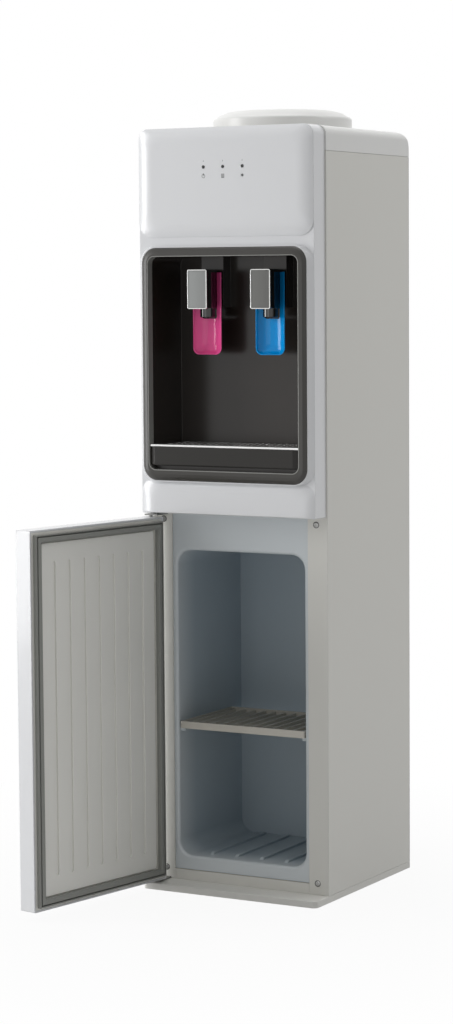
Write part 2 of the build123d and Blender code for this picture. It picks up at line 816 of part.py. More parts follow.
def tray_side(y):
    """Half width of the drip tray at a depth, a running gap inside the tapered alcove."""
    share = (y + moulding_depth) / (alcove_back + moulding_depth)
    return alcove_half - max(share, 0.0) * alcove_taper - tray_gap


# Drip tray: a drawer whose front shows under the grate
tray_back = alcove_back - 4.0
tray_bottom = alcove_floor + 0.5
rim_top = tray_top - grate_thickness
with BuildPart() as drip_tray:
    with BuildSketch(Plane.XY.offset(tray_bottom)):
        with BuildLine():
            Polyline(
                (-tray_side(tray_back), tray_back),
                (-tray_side(-moulding_depth), -moulding_depth),
                (-tray_side(-moulding_depth), -tray_front + tray_bevel / 2),
                (-tray_side(-moulding_depth) + tray_bevel, -tray_front),
                (tray_side(-moulding_depth) - tray_bevel, -tray_front),
                (tray_side(-moulding_depth), -tray_front + tray_bevel / 2),
                (tray_side(-moulding_depth), -moulding_depth),
                (tray_side(tray_back), tray_back),
                close=True,
            )
        make_face()
    extrude(amount=rim_top - tray_bottom)
    fillet(drip_tray.faces().sort_by(Axis.Z)[0].edges(), 2.2)
    with BuildSketch(Plane.XY.offset(tray_bottom + 2 * tray_wall)):
        with BuildLine():
            Polyline(
                (-tray_side(tray_back) + tray_wall, tray_back - tray_wall),
                (-tray_side(-moulding_depth) + tray_wall, -tray_front + tray_bevel),
                (tray_side(-moulding_depth) - tray_wall, -tray_front + tray_bevel),
                (tray_side(tray_back) - tray_wall, tray_back - tray_wall),
                close=True,
            )
        make_face()
        fillet(vertices(), 4.0)
    extrude(amount=tray_height, mode=Mode.SUBTRACT)
save(drip_tray, "drip_tray")

# Grate: a slotted plate that lies on the tray's rim
with BuildPart() as drip_grate:
    grate_front = -tray_front + 2.0
    grate_half = tray_side(-moulding_depth) - 0.2
    with BuildSketch(Plane.XY.offset(rim_top + slack)):
        with BuildLine():
            Polyline(
                (-tray_side(tray_back) + 0.2, tray_back),
                (-grate_half, -moulding_depth),
                (-grate_half, grate_front),
                (grate_half, grate_front),
                (grate_half, -moulding_depth),
                (tray_side(tray_back) - 0.2, tray_back),
                close=True,
            )
        make_face()
        slot_columns = int((2 * tray_side(tray_back) - 14) // grate_pitch)
        with Locations((0, (grate_front + tray_back) / 2)):
            with GridLocations(grate_pitch, grate_slot_length + 4, slot_columns, 3):
                SlotOverall(grate_slot_length, grate_slot, rotation=90, mode=Mode.SUBTRACT)
    extrude(amount=grate_thickness)
    for x in (-70.0, 70.0):
        block(x - 4, x + 4, grate_front + 9, grate_front + 11, rim_top - 6, rim_top + slack + 1)
save(drip_grate, "drip_grate")

# Refrigerator liner: a drawn tub with a flat rim, floor ribs and shelf ledges
with BuildPart() as fridge_liner:
    for y, draft in ((liner_front, 0.0), (fridge_back + liner_wall, fridge_draft)):
        with BuildSketch(front(y)):
            outline(fridge_half - draft + liner_wall, fridge_bottom + draft - liner_wall,
                    fridge_top - draft + liner_wall, fridge_corner + liner_wall, fridge_corner + liner_wall)
    loft(ruled=True)
    with BuildSketch(front(liner_front + liner_wall)):
        outline(half_width - flange_width - 0.1, fridge_bottom - liner_rim_drop, liner_rim_top, 1.0, 1.0)
    extrude(amount=liner_wall)
    for y, draft in ((liner_front - 0.01, 0.0), (fridge_back, fridge_draft)):
        with BuildSketch(front(y)):
            outline(fridge_half - draft, fridge_bottom + draft, fridge_top - draft, fridge_corner,
                    fridge_corner)
    loft(ruled=True, mode=Mode.SUBTRACT)
    mouth = fridge_liner.faces().filter_by(Axis.Y).sort_by(Axis.Y)[0].inner_wires()[0].edges()
    fillet(mouth, liner_mouth)
    for column in (-1.5, -0.5, 0.5, 1.5):
        x = column * rib_spacing
        with BuildSketch(Plane.YZ.offset(x - rib_width / 2)):
            with BuildLine():
                Polyline(
                    (20, fridge_bottom - 0.5),
                    (26, fridge_bottom + rib_height),
                    (fridge_back - 6, fridge_bottom + fridge_draft + rib_height),
                    (fridge_back - 6, fridge_bottom - 0.5),
                    close=True,
                )
            make_face()
        extrude(amount=rib_width)
    ledge_top = shelf_top - shelf_lip + slack
    for side in (-1, 1):
        block(side * (fridge_half - ledge_width), side * (fridge_half + 0.5), shelf_front + 5,
              shelf_rear + 7, ledge_top - slack - ledge_thickness, ledge_top - slack)
save(fridge_liner, "fridge_liner")

# Foam round the liner, between the side panels
with BuildPart() as fridge_insulation:
    block(-half_width + sheet, half_width - sheet, liner_front + liner_wall + 0.1,
          cabinet_depth - 2 * sheet, panel_bottom, low_deck)
    for y, draft in ((liner_front, 0.0), (fridge_back + liner_wall, fridge_draft)):
        with BuildSketch(front(y)):
            outline(fridge_half - draft + liner_wall, fridge_bottom + draft - liner_wall,
                    fridge_top - draft + liner_wall, fridge_corner + liner_wall, fridge_corner + liner_wall)
    loft(ruled=True, mode=Mode.SUBTRACT)
    for side in (-1, 1):
        block(side * (half_width - flange_width - 0.5), side * half_width, 0, flange_lip + 0.2,
              panel_bottom - 1, low_deck + 1, mode=Mode.SUBTRACT)
save(fridge_insulation, "fridge_insulation")

# Steel rails across the front: one over the refrigerator and one at its foot
with BuildPart() as front_rails:
    rail_half = half_width - flange_width - 0.1
    block(0.1 - flange_cut, flange_cut - 0.1, 0, sheet, rail_bottom, bezel_bottom - rail_drop)
    block(0.1 - flange_cut, flange_cut - 0.1, 0, rail_fold, rail_bottom, rail_bottom + sheet)
    block(-rail_half, rail_half, 0, sheet, panel_bottom, fridge_bottom - liner_rim_drop - 0.1)
    block(-rail_half, rail_half, 0, liner_front + liner_wall, panel_bottom, panel_bottom + sheet)
save(front_rails, "front_rails")

# Shelf: a moulded tray with a front lip and ribs from front to back
with BuildPart() as fridge_shelf:
    shelf_half = fridge_half - fridge_draft - shelf_side_gap
    shelf_base = shelf_top - shelf_lip + slack
    block(-shelf_half, shelf_half, shelf_front, shelf_rear, shelf_base, shelf_base + shelf_plate)
    block(-shelf_half, shelf_half, shelf_front, shelf_front + 3, shelf_base, shelf_top)
    fillet(fridge_shelf.edges().filter_by(Axis.Z).group_by(Axis.Y)[0], 2.5)
    block(-shelf_half, shelf_half, shelf_rear - 3, shelf_rear, shelf_base, shelf_top)
    for side in (-1, 1):
        block(side * (shelf_half - 2.5), side * shelf_half, shelf_front + 2, shelf_rear, shelf_base,
              shelf_top)
    rib_room = 2 * (shelf_half - 8)
    for rib in range(12):
        x = -rib_room / 2 + rib * rib_room / 11
        block(x - 1.2, x + 1.2, shelf_front + 2, shelf_rear - 1, shelf_base, shelf_top - 2)
save(fridge_shelf, "fridge_shelf")


def swung(x, y):
    """Place of a point of the closed door once the door stands open."""
    angle = radians(door_open_angle)
    dx = x - hinge_x
    dy = y - hinge_y
    return (
        hinge_x + dx * cos(angle) + dy * sin(angle),
        hinge_y - dx * sin(angle) + dy * cos(angle),
    )


def door_plane(y):
    """Plane across the open door at a depth of the closed door, local x along its width."""
    angle = radians(door_open_angle)
    x0, y0 = swung(0, y)
    return Plane(origin=(x0, y0, 0), x_dir=(cos(angle), -sin(angle), 0), z_dir=(-sin(angle), -cos(angle), 0))


def door_slab(half, bottom, top, corner, y_back, y_front, mode=Mode.ADD):
    with BuildSketch(door_plane(y_back)) as section:
        outline(half, bottom, top, corner, corner)
    extrude(section.sketch, amount=y_back - y_front, mode=mode)


def hinge_socket(z0, z1, radius, mode=Mode.ADD):
    rod_z(hinge_x, hinge_y, radius, z0, z1, mode=mode)


def pin_ends(length, past=0.0):
    """Lower and upper heights of a boss or bore at each end of the door."""
    return (door_bottom - past, door_bottom + length), (door_top - length, door_top + past)


# Door shell, open towards the cabinet, with a boss for each hinge pin
with BuildPart() as door_shell:
    door_slab(door_half, door_bottom, door_top, 1.5, -door_back, -door_rim)
    pillow(door_plane, door_half, door_bottom, door_top, -door_rim, -door_face, pillow_side_bevel,
           pillow_end_bevel, pillow_end_bevel, door_corner, door_corner)
    door_slab(door_half - door_wall, door_bottom + door_wall, door_top - door_wall, 1.0, 1 - door_back,
              -door_rim + door_wall, mode=Mode.SUBTRACT)
    for z0, z1 in pin_ends(hinge_pin_length + 2):
        hinge_socket(z0 + 0.5, z1 - 0.5, 6.0)
    for z0, z1 in pin_ends(hinge_pin_length, 1):
        hinge_socket(z0, z1, hinge_pin_radius + running_fit, mode=Mode.SUBTRACT)
save(door_shell, "door_shell")

# Inner panel: foam-backed, with a raised field and long grooves
pad_bottom = door_bottom + door_pad_end_margin
pad_top = door_top - door_pad_end_margin
groove_length = pad_top - pad_bottom - 2 * groove_end_margin
groove_pitch = 2 * (door_pad_half - groove_side_margin) / (groove_count - 1)
gasket_inner = gasket_outer - gasket_width
gasket_low = door_bottom + door_half - gasket_outer
gasket_high = door_top - (door_half - gasket_outer)
with BuildPart() as door_inner_panel:
    door_slab(door_half - door_wall - 0.1, door_bottom + door_wall + 0.1, door_top - door_wall - 0.1, 1.0,
              -door_back - 0.1, -door_rim + door_wall + 0.1)
    door_slab(gasket_inner, gasket_low + gasket_width, gasket_high - gasket_width, 2.0,
              1 - door_back, -door_back - 4, mode=Mode.SUBTRACT)
    door_slab(door_pad_half, pad_bottom, pad_top, 4.0, door_pad_rise - door_back, -door_back - 5)
    with BuildSketch(door_plane(1 - door_back)):
        with Locations((0, (pad_bottom + pad_top) / 2)):
            with GridLocations(groove_pitch, 0, groove_count, 1):
                SlotOverall(groove_length, groove_width, rotation=90)
    extrude(amount=1 + groove_depth, mode=Mode.SUBTRACT)
    pad_face = door_inner_panel.faces().sort_by_distance(
        (*swung(groove_pitch / 2, door_pad_rise - door_back), (pad_bottom + pad_top) / 2)
    )[0]
    fillet([edge for wire in pad_face.inner_wires() for edge in wire.edges()], groove_edge)
    for z0, z1 in pin_ends(hinge_pin_length + 3):
        hinge_socket(z0, z1, 6.3, mode=Mode.SUBTRACT)
save(door_inner_panel, "door_inner_panel")

# Gasket: a soft ring with a rounded sealing face
with BuildPart() as door_gasket:
    door_slab(gasket_outer, gasket_low, gasket_high, 5.0, -gasket_clearance, -door_back)
    door_slab(gasket_inner, gasket_low + gasket_width, gasket_high - gasket_width, 2.0, 1.0, -door_back - 1,
              mode=Mode.SUBTRACT)
    ring_face = door_gasket.faces().filter_by(Plane.XY.offset(0), reverse=True).sort_by_distance(
        (*swung(gasket_outer - gasket_width / 2, -gasket_clearance), (gasket_low + gasket_high) / 2)
    )[0]
    chamfer(ring_face.edges(), 1.2)
save(door_gasket, "door_gasket")

# Hinge plates with their riveted pins
with BuildPart() as hinge_plates:
    for level, pin_z0, pin_z1, leg_z0, leg_z1 in (
        (hinge_arm_levels[0], hinge_arm_levels[0], door_bottom + hinge_pin_length - 1, hinge_arm_levels[0],
         low_screw_z + 7),
        (hinge_arm_levels[1], door_top - hinge_pin_length + 1, hinge_arm_levels[1] + hinge_plate,
         high_screw_z - 7, hinge_arm_levels[1] + hinge_plate),
    ):
        arm_left = -half_width + 3.2
        block(arm_left, hinge_arm_right, hinge_y - 6, sheet + 0.1, level, level + hinge_plate)
        block(arm_left, hinge_arm_right, sheet + 0.1, sheet + 0.1 + hinge_plate, leg_z0, leg_z1)
        rod_z(hinge_x, hinge_y, hinge_pin_radius, pin_z0, pin_z1)
    for z in (high_screw_z, low_screw_z):
        rod_y(-screw_x, z, screw_radius + 0.1, 0, sheet + hinge_plate + 1, mode=Mode.SUBTRACT)
save(hinge_plates, "hinge_plates")

# Screws in the flanges: two hold the hinge plates, two close the spare holes
with BuildPart() as flange_screws:
    for x in (-screw_x, screw_x):
        for z in (high_screw_z, low_screw_z):
            rod_y(x, z, screw_radius, -0.3, 7.0)
            rod_y(x, z, screw_head_radius, -0.6, 0)
save(flange_screws, "flange_screws")

# Bottle seat: domed ring, funnel and neck socket, turned in one piece
with BuildPart() as bottle_seat:
    crest = cabinet_height + seat_crest_height
    rim_z = cabinet_height + seat_wall_height
    socket_top = cabinet_height
    socket_floor = socket_top - socket_depth
    with BuildSketch(Plane.XZ.offset(-seat_y)):
        with BuildLine():
            Line((seat_radius, seat_z), (seat_radius, rim_z - 4))
            ThreePointArc((seat_radius, rim_z - 4), (seat_radius - 1.2, rim_z - 1.2),
                          (seat_radius - 4, rim_z))
            ThreePointArc((seat_radius - 4, rim_z), (seat_radius - 16, crest - 2.4),
                          (seat_crest_radius, crest))
            ThreePointArc((seat_crest_radius, crest), (48, crest - 5),
                          (socket_radius + 6, socket_top + 8))
            Polyline(
                (socket_radius + 6, socket_top + 8),
                (socket_radius, socket_top),
                (socket_radius, socket_floor + seat_thickness),
                (spike_radius - 2, socket_floor + seat_thickness),
                (spike_radius - 2, socket_floor),
                (socket_radius + seat_thickness, socket_floor),
                (socket_radius + seat_thickness, socket_top - 1),
                (socket_radius + 6 + seat_thickness, socket_top + 6),
            )
            ThreePointArc((socket_radius + 6 + seat_thickness, socket_top + 6), (49.5, crest - 7.2),
                          (seat_crest_radius, crest - seat_thickness))
            ThreePointArc((seat_crest_radius, crest - seat_thickness), (seat_radius - 17, crest - 5.2),
                          (seat_radius - 5.5, rim_z - seat_thickness))
            Polyline(
                (seat_radius - 5.5, rim_z - seat_thickness),
                (seat_radius - seat_thickness, rim_z - 5.5),
                (seat_radius - seat_thickness, seat_z + seat_thickness),
                (spigot_radius, seat_z + seat_thickness),
                (spigot_radius - seat_thickness, seat_z + seat_thickness),
                (spigot_radius - seat_thickness, cabinet_height - spigot_depth),
                (spigot_radius, cabinet_height - spigot_depth),
                (spigot_radius, seat_z),
                (seat_radius, seat_z),
            )
        make_face()
    revolve(axis=Axis((0, seat_y, 0), (0, 0, 1)))
save(bottle_seat, "bottle_seat")

# Feed spike, which opens the bottle's cap and lets water down and air up
with BuildPart() as feed_spike:
    spike_base = socket_floor + seat_thickness
    tip_out, tip_down = crown_middle(spike_radius, spike_dome)
    with BuildSketch(Plane.XZ.offset(-seat_y)):
        with BuildLine():
            Polyline(
                (spike_radius - 3, spike_base),
                (spike_radius + 6, spike_base),
                (spike_radius + 6, spike_base + 2),
                (spike_radius, spike_base + 2),
                (spike_radius, spike_base + spike_height - spike_dome),
            )
            ThreePointArc((spike_radius, spike_base + spike_height - spike_dome),
                          (tip_out, spike_base + spike_height - tip_down),
                          (0, spike_base + spike_height))
            Polyline(
                (0, spike_base + spike_height),
                (0, spike_base + spike_height - 2.5),
                (spike_radius - 4, spike_base + spike_height - 5),
                (spike_radius - 3, spike_base + spike_height - 10),
                (spike_radius - 3, spike_base),
            )
        make_face()
    revolve(axis=Axis((0, seat_y, 0), (0, 0, 1)))
    for turn in (0, 90):
        with BuildSketch(Plane(origin=(0, seat_y, spike_base + spike_height - 20), z_dir=(
                cos(radians(turn)), sin(radians(turn)), 0))):
            SlotOverall(12, 5, rotation=90 if turn == 0 else 0)
        extrude(amount=spike_radius + 2, both=True, mode=Mode.SUBTRACT)
save(feed_spike, "feed_spike")

# Machine decks: three folded plates between the side panels
outlet_reach = cold_tank_radius - tank_wall - 5.4
outlet_x = 0.6 * outlet_reach
outlet_y = seat_y - 0.8 * outlet_reach
with BuildPart() as machine_decks:
    deck_half = half_width - sheet - 0.1
    for level in (low_deck, mid_deck, top_deck):
        block(-deck_half, deck_half, deck_front, deck_back, level, level + shelf_sheet)
        for side in (-1, 1):
            block(side * (deck_half - shelf_sheet), side * deck_half, deck_front, deck_back, level,
                  level + 18)
    rod_z(0, seat_y, 8, top_deck - 1, top_deck + shelf_sheet + 1, mode=Mode.SUBTRACT)
    rod_z(outlet_x, outlet_y, 8, top_deck - 1, top_deck + shelf_sheet + 1, mode=Mode.SUBTRACT)
save(machine_decks, "machine_decks")

# Compressor on its foot plate
dome_out, dome_down = crown_middle(compressor_radius, dome_height)
deck_top = low_deck + shelf_sheet
shell_z0 = deck_top + 12
shell_z1 = mid_deck - compressor_headroom
foot_z = deck_top + 10
foot_points = [(compressor_x + sx * foot_half_x, compressor_y + sy * foot_half_y)
               for sx in (-1, 1) for sy in (-1, 1)]
with BuildPart() as compressor:
    with BuildSketch(Plane.XZ.offset(-compressor_y)):
        with BuildLine():
            Line((compressor_x, shell_z0), (compressor_x + compressor_radius - 18, shell_z0))
            ThreePointArc((compressor_x + compressor_radius - 18, shell_z0),
                          (compressor_x + compressor_radius - 5.3, shell_z0 + 5.3),
                          (compressor_x + compressor_radius, shell_z0 + 18))
            Line((compressor_x + compressor_radius, shell_z0 + 18),
                 (compressor_x + compressor_radius, shell_z1 - dome_height))
            ThreePointArc((compressor_x + compressor_radius, shell_z1 - dome_height),
                          (compressor_x + dome_out, shell_z1 - dome_down),
                          (compressor_x, shell_z1))
            Line((compressor_x, shell_z1), (compressor_x, shell_z0))
        make_face()
    revolve(axis=Axis((compressor_x, compressor_y, 0), (0, 0, 1)))
    rod_z(compressor_x, compressor_y, compressor_radius + weld_lip, shell_z0 + weld_rise,
          shell_z0 + weld_rise + weld_height)
    with BuildSketch(Plane.XY.offset(foot_z)):
        with Locations((compressor_x, compressor_y)):
            RectangleRounded(2 * (foot_half_x + foot_plate_margin), 2 * (foot_half_y + foot_plate_margin), 12)
        with Locations(*foot_points):
            Circle(5.0, mode=Mode.SUBTRACT)
    extrude(amount=3)
    block(compressor_x + compressor_radius - 4, compressor_x + compressor_radius + terminal_reach,
          compressor_y - terminal_half, compressor_y + terminal_half, shell_z0 + terminal_rise,
          shell_z0 + terminal_rise + terminal_height)
save(compressor, "compressor")

with BuildPart() as compressor_grommets:
    for x, y in foot_points:
        rod_z(x, y, 9.0, deck_top, foot_z)
        rod_z(x, y, 4.9, foot_z, foot_z + 3)
        rod_z(x, y, 7.5, foot_z + 3, foot_z + 6)
save(compressor_grommets, "compressor_grommets")

# Hot tank with its heater band, thermostats and insulation
hot_base = mid_deck + shelf_sheet
hot_z0 = hot_base + hot_insulation
hot_z1 = hot_z0 + hot_tank_height
with BuildPart() as hot_tank:
    rod_z(0, seat_y, hot_tank_radius, hot_z0, hot_z1)
    fillet(hot_tank.edges().filter_by(GeomType.CIRCLE), 10.0)
    offset(amount=-tank_wall, mode=Mode.SUBTRACT)
    rod_z(0, seat_y, outlet_radius, hot_z1 - tank_wall, hot_z1 + stub_height)
    rod_z(-vent_offset, seat_y, outlet_radius, hot_z1 - tank_wall, hot_z1 + stub_height)
    rod_z(0, seat_y, outlet_bore, hot_z1 - 5, hot_z1 + stub_height + 1, mode=Mode.SUBTRACT)
    rod_z(-vent_offset, seat_y, outlet_bore, hot_z1 - 5, hot_z1 + stub_height + 1, mode=Mode.SUBTRACT)
save(hot_tank, "hot_tank")

with BuildPart() as heater_band:
    rod_z(0, seat_y, hot_tank_radius + 2.0, hot_z0 + 25, hot_z0 + 65)
    rod_z(0, seat_y, hot_tank_radius + 0.05, hot_z0 + 24, hot_z0 + 66, mode=Mode.SUBTRACT)
save(heater_band, "heater_band")

stat_levels = (hot_z0 + 84, hot_z0 + 112)
with BuildPart() as thermostats:
    for z in stat_levels:
        rod_x(seat_y, z, 8.0, hot_tank_radius + 0.2, hot_tank_radius + 14)
        block(hot_tank_radius + 14, hot_tank_radius + 20, seat_y - 4, seat_y - 2, z - 3, z + 3)
        block(hot_tank_radius + 14, hot_tank_radius + 20, seat_y + 2, seat_y + 4, z - 3, z + 3)
save(thermostats, "thermostats")

with BuildPart() as hot_tank_insulation:
    jacket = hot_tank_radius + 2.1 + hot_insulation
    rod_z(0, seat_y, jacket, hot_base, hot_z1 + 12)
    rod_z(0, seat_y, hot_tank_radius + 2.1, hot_z0, hot_z1 + 0.1, mode=Mode.SUBTRACT)
    for x in (0, -vent_offset):
        rod_z(x, seat_y, outlet_radius + 0.2, hot_z1 - 1, hot_z1 + 13, mode=Mode.SUBTRACT)
    for z in stat_levels:
        rod_x(seat_y, z, 8.4, hot_tank_radius, jacket + 1, mode=Mode.SUBTRACT)
    rod_y(0, drain_z, drain_tube + 0.4, seat_y, seat_y + jacket + 1, mode=Mode.SUBTRACT)
save(hot_tank_insulation, "hot_tank_insulation")

# Cold tank, its evaporator coil and insulation
cold_base = top_deck + shelf_sheet
cold_z0 = cold_base + cold_insulation
cold_z1 = cold_z0 + cold_tank_height
coil_z0 = cold_z0 + coil_above_floor
coil_room = coil_radius + coil_tube / 2 + coil_gap_to_tank
with BuildPart() as cold_tank:
    rod_z(0, seat_y, cold_tank_radius, cold_z0, cold_z1)
    rod_z(0, seat_y, coil_room + tank_rim, cold_z1, cold_z1 + tank_wall)
    rod_z(0, seat_y, cold_tank_radius - tank_wall, cold_z0 + tank_wall, cold_z1 + tank_wall + 1,
          mode=Mode.SUBTRACT)
    for x, y in ((0, seat_y), (outlet_x, outlet_y)):
        rod_z(x, y, outlet_radius, cold_z0 - outlet_length, cold_z0 + tank_wall)
        rod_z(x, y, outlet_bore, cold_z0 - outlet_length - 1, cold_z0 + tank_wall + 1, mode=Mode.SUBTRACT)
save(cold_tank, "cold_tank")

with BuildPart() as evaporator_coil:
    coil_gap = coil(0, seat_y, coil_radius, coil_z0, coil_half_turns, coil_rise, coil_tube,
                    lead_in=pipe_y - seat_y, lead_out=pipe_y - seat_y)
print(f"evaporator coil: least gap between turns {coil_gap:.2f} mm")
save(evaporator_coil, "evaporator_coil")

with BuildPart() as cold_tank_insulation:
    rod_z(0, seat_y, cold_jacket, cold_base, cabinet_height - spigot_depth - 3)
    rod_z(0, seat_y, coil_room, cold_z0, cold_z1, mode=Mode.SUBTRACT)
    rod_z(0, seat_y, coil_room + tank_rim + 2 * slack, cold_z1, cabinet_height, mode=Mode.SUBTRACT)
    for x, y in ((0, seat_y), (outlet_x, outlet_y)):
        rod_z(x, y, outlet_radius + 0.2, cold_base - 1, cold_z0 + 1, mode=Mode.SUBTRACT)
    for x, z in ((coil_radius, coil_z0), (-coil_radius, coil_z0 + coil_rise)):
        rod_y(x, z, coil_tube / 2 + 0.3, seat_y, pipe_y, mode=Mode.SUBTRACT)
save(cold_tank_insulation, "cold_tank_insulation")

# Baffle in the cold tank: a disc on a stem that feeds the hot tank from above the cold water
with BuildPart() as tank_baffle:
    baffle_z = cold_z0 + baffle_rise
    rod_z(0, seat_y, cold_tank_radius - tank_wall - 2, baffle_z, baffle_z + 3)
    rod_z(0, seat_y, 8.0, cold_z0 + tank_wall, baffle_z + 6)
    rod_z(0, seat_y, 5.0, cold_z0, baffle_z + 7, mode=Mode.SUBTRACT)
    with BuildSketch(Plane.XY.offset(baffle_z)):
        with Locations((0, seat_y)):
            with PolarLocations(cold_tank_radius * 0.72, 8):
                Circle(baffle_hole)
    extrude(amount=4, mode=Mode.SUBTRACT)
save(tank_baffle, "tank_baffle")

# Hoses: from the cold tank to the hot tank and to each tap
with BuildPart() as tank_feed_hose:
    rod_z(0, seat_y, hose_radius, hot_z1 + 12.2, cold_base - 0.2)
    rod_z(0, seat_y, outlet_radius + 0.1, hot_z1, cold_base + 2, mode=Mode.SUBTRACT)
save(tank_feed_hose, "tank_feed_hose")

hose_turn_y = shank_end + hose_lead
with BuildPart() as cold_tap_hose:
    route = (
        (tap_centres[1], shank_end, shank_z),
        (tap_centres[1], hose_turn_y, shank_z),
        (outlet_x, outlet_y, shank_z),
        (outlet_x, outlet_y, cold_z0 - outlet_length),
    )
    tube(route, hose_radius, hose_bend)
save(cold_tap_hose, "cold_tap_hose")

with BuildPart() as hot_tap_hose:
    hose_level = top_deck - hose_below_deck
    route = (
        (-vent_offset, seat_y, hot_z1 + stub_height),
        (-vent_offset, seat_y, hose_level),
        (tap_centres[0], hose_turn_y + hose_descent, hose_level),
        (tap_centres[0], hose_turn_y, shank_z),
        (tap_centres[0], shank_end, shank_z),
    )
    tube(route, hose_radius, hose_bend)
save(hot_tap_hose, "hot_tap_hose")

# Refrigerant lines: suction pipe, drier and capillary
with BuildPart() as refrigerant_pipes:
    suction_x = -coil_radius
    suction_top = coil_z0 + coil_rise
    stub_x = compressor_x - 10
    inlet_y = compressor_y + sqrt(compressor_radius**2 - (stub_x - compressor_x)**2)
    tube(
        (
            (suction_x, pipe_y, suction_top),
            (suction_x, pipe_y + pipe_lane, suction_top),
            (suction_x, pipe_y + pipe_lane, shell_z0 + suction_rise),
            (stub_x, pipe_y + pipe_lane, shell_z0 + suction_rise),
            (stub_x, inlet_y + 1.0, shell_z0 + suction_rise),
        ),
        coil_tube / 2,
        pipe_bend,
    )
    drier_x = condenser_half
    drier_y = pipe_y + drier_lane
    drier_top = condenser_top - drier_below_top
    rod_z(drier_x, drier_y, drier_radius, drier_top - drier_length, drier_top)
    rod_z(drier_x, drier_y, condenser_tube / 2, drier_top - 1, condenser_top - condenser_tube / 2 - 0.5)
    tube(
        (
            (drier_x, drier_y, drier_top - drier_length + 1),
            (drier_x, drier_y, coil_z0 - 4),
            (coil_radius, drier_y, coil_z0 - 4),
        ),
        capillary_radius,
        6,
    )
    rod_z(coil_radius, drier_y, capillary_radius, coil_z0 - 4 - capillary_radius, coil_z0 + 1.5)
save(refrigerant_pipes, "refrigerant_pipes")

# Wiring board on the right side panel
with BuildPart() as wiring_board:
    board_x = half_width - sheet - board_standoff
    board_left = board_x - board_thickness
    board_back = pipe_y - board_back_gap
    board_bottom = deck_top + board_rise
    board_top = mid_deck - board_headroom
    block(board_left, board_x, board_front, board_back, board_bottom, board_top)
    for y in (board_front + post_inset, board_back - post_inset):
        for z in (board_bottom + post_inset, board_top - post_inset):
            rod_x(y, z, 3.0, board_x, half_width - sheet)
    block(board_left - relay_height, board_left, board_front + 10, board_front + 50, board_bottom + 10,
          board_bottom + 50)
    block(board_left - relay_height / 2, board_left, board_back - 50, board_back - 10, board_bottom + 14,
          board_bottom + 34)
    block(board_left - relay_height / 2, board_left, board_front + 15, board_back - 15, board_top - 50,
          board_top - 34)
save(wiring_board, "wiring_board")

# Condenser: serpentine tube and the wires clipped to both sides of it
with BuildPart() as condenser_coil:
    lane_y = pipe_y + pipe_lane + 1
    points = [
        (compressor_x, compressor_y + compressor_radius + slack, condenser_bottom),
        (compressor_x, lane_y, condenser_bottom),
        (-condenser_half, lane_y, condenser_bottom),
        (-condenser_half, condenser_y, condenser_bottom),
    ]
    direction = 1
    for run in range(condenser_runs):
        z = condenser_bottom + run * condenser_pitch
        if run:
            points.append((-direction * condenser_half, condenser_y, z))
        points.append((direction * condenser_half, condenser_y, z))
        direction = -direction
    points.append((points[-1][0], drier_y, condenser_top))
    bends = [condenser_inlet_bend] * 3 + [condenser_bend] * (2 * condenser_runs - 2) + [condenser_inlet_bend]
    tube(points, condenser_tube / 2, bends)
save(condenser_coil, "condenser_coil")

with BuildPart() as condenser_wires:
    wire_pitch = 2 * (condenser_half - condenser_bend - 6) / (wire_count - 1)
    wire_offset = condenser_tube / 2 + wire_radius + 0.1
    with BuildSketch(Plane.XY.offset(condenser_bottom - 12)):
        for y in (condenser_y - wire_offset, condenser_y + wire_offset):
            with Locations((0, y)):
                with GridLocations(wire_pitch, 0, wire_count, 1):
                    Circle(wire_radius)
    extrude(amount=condenser_top - condenser_bottom + 24)
save(condenser_wires, "condenser_wires")

# Rocker switches for heating and cooling, on the back
rocker_levels = (switch_z + rocker_spacing / 2, switch_z - rocker_spacing / 2)
rocker_pivot_y = cabinet_depth - 3
with BuildPart() as switch_plate:
    block(switch_x - 13, switch_x + 13, cabinet_depth, cabinet_depth + 2, switch_z - 38, switch_z + 38)
    block(switch_x - 8.8, switch_x + 8.8, cabinet_depth - 14, cabinet_depth, switch_z - 32.8, switch_z + 32.8)
    for z in rocker_levels:
        block(switch_x - rocker_half - slack, switch_x + rocker_half + slack, cabinet_depth - 11,
              cabinet_depth + 3, z - 12, z + 12, mode=Mode.SUBTRACT)
        trunnion_reach = rocker_half + trunnion_length + 2 * slack
        rod_x(rocker_pivot_y, z, trunnion_radius + running_fit, switch_x - trunnion_reach,
              switch_x + trunnion_reach, mode=Mode.SUBTRACT)
save(switch_plate, "switch_plate")


def rocker(z):
    """Rocker key tilted to one side, with its trunnions in the plate."""
    with BuildPart() as key:
        with BuildSketch(Plane.YZ.offset(switch_x - rocker_half)) as section:
            with BuildLine():
                Polyline(
                    (rocker_pivot_y - 4, z - 6),
                    (rocker_pivot_y - 4, z + 6),
                    (rocker_pivot_y + 4.5, z + 9.6),
                    (rocker_pivot_y + 5.6, z),
                    (rocker_pivot_y + 8.6, z - 8.8),
                    close=True,
                )
            make_face()
        extrude(section.sketch, amount=2 * rocker_half)
        reach = rocker_half + trunnion_length
        rod_x(rocker_pivot_y, z, trunnion_radius, switch_x - reach, switch_x + reach)
    return key


save(rocker(rocker_levels[0]), "hot_switch")
save(rocker(rocker_levels[1]), "cold_switch")

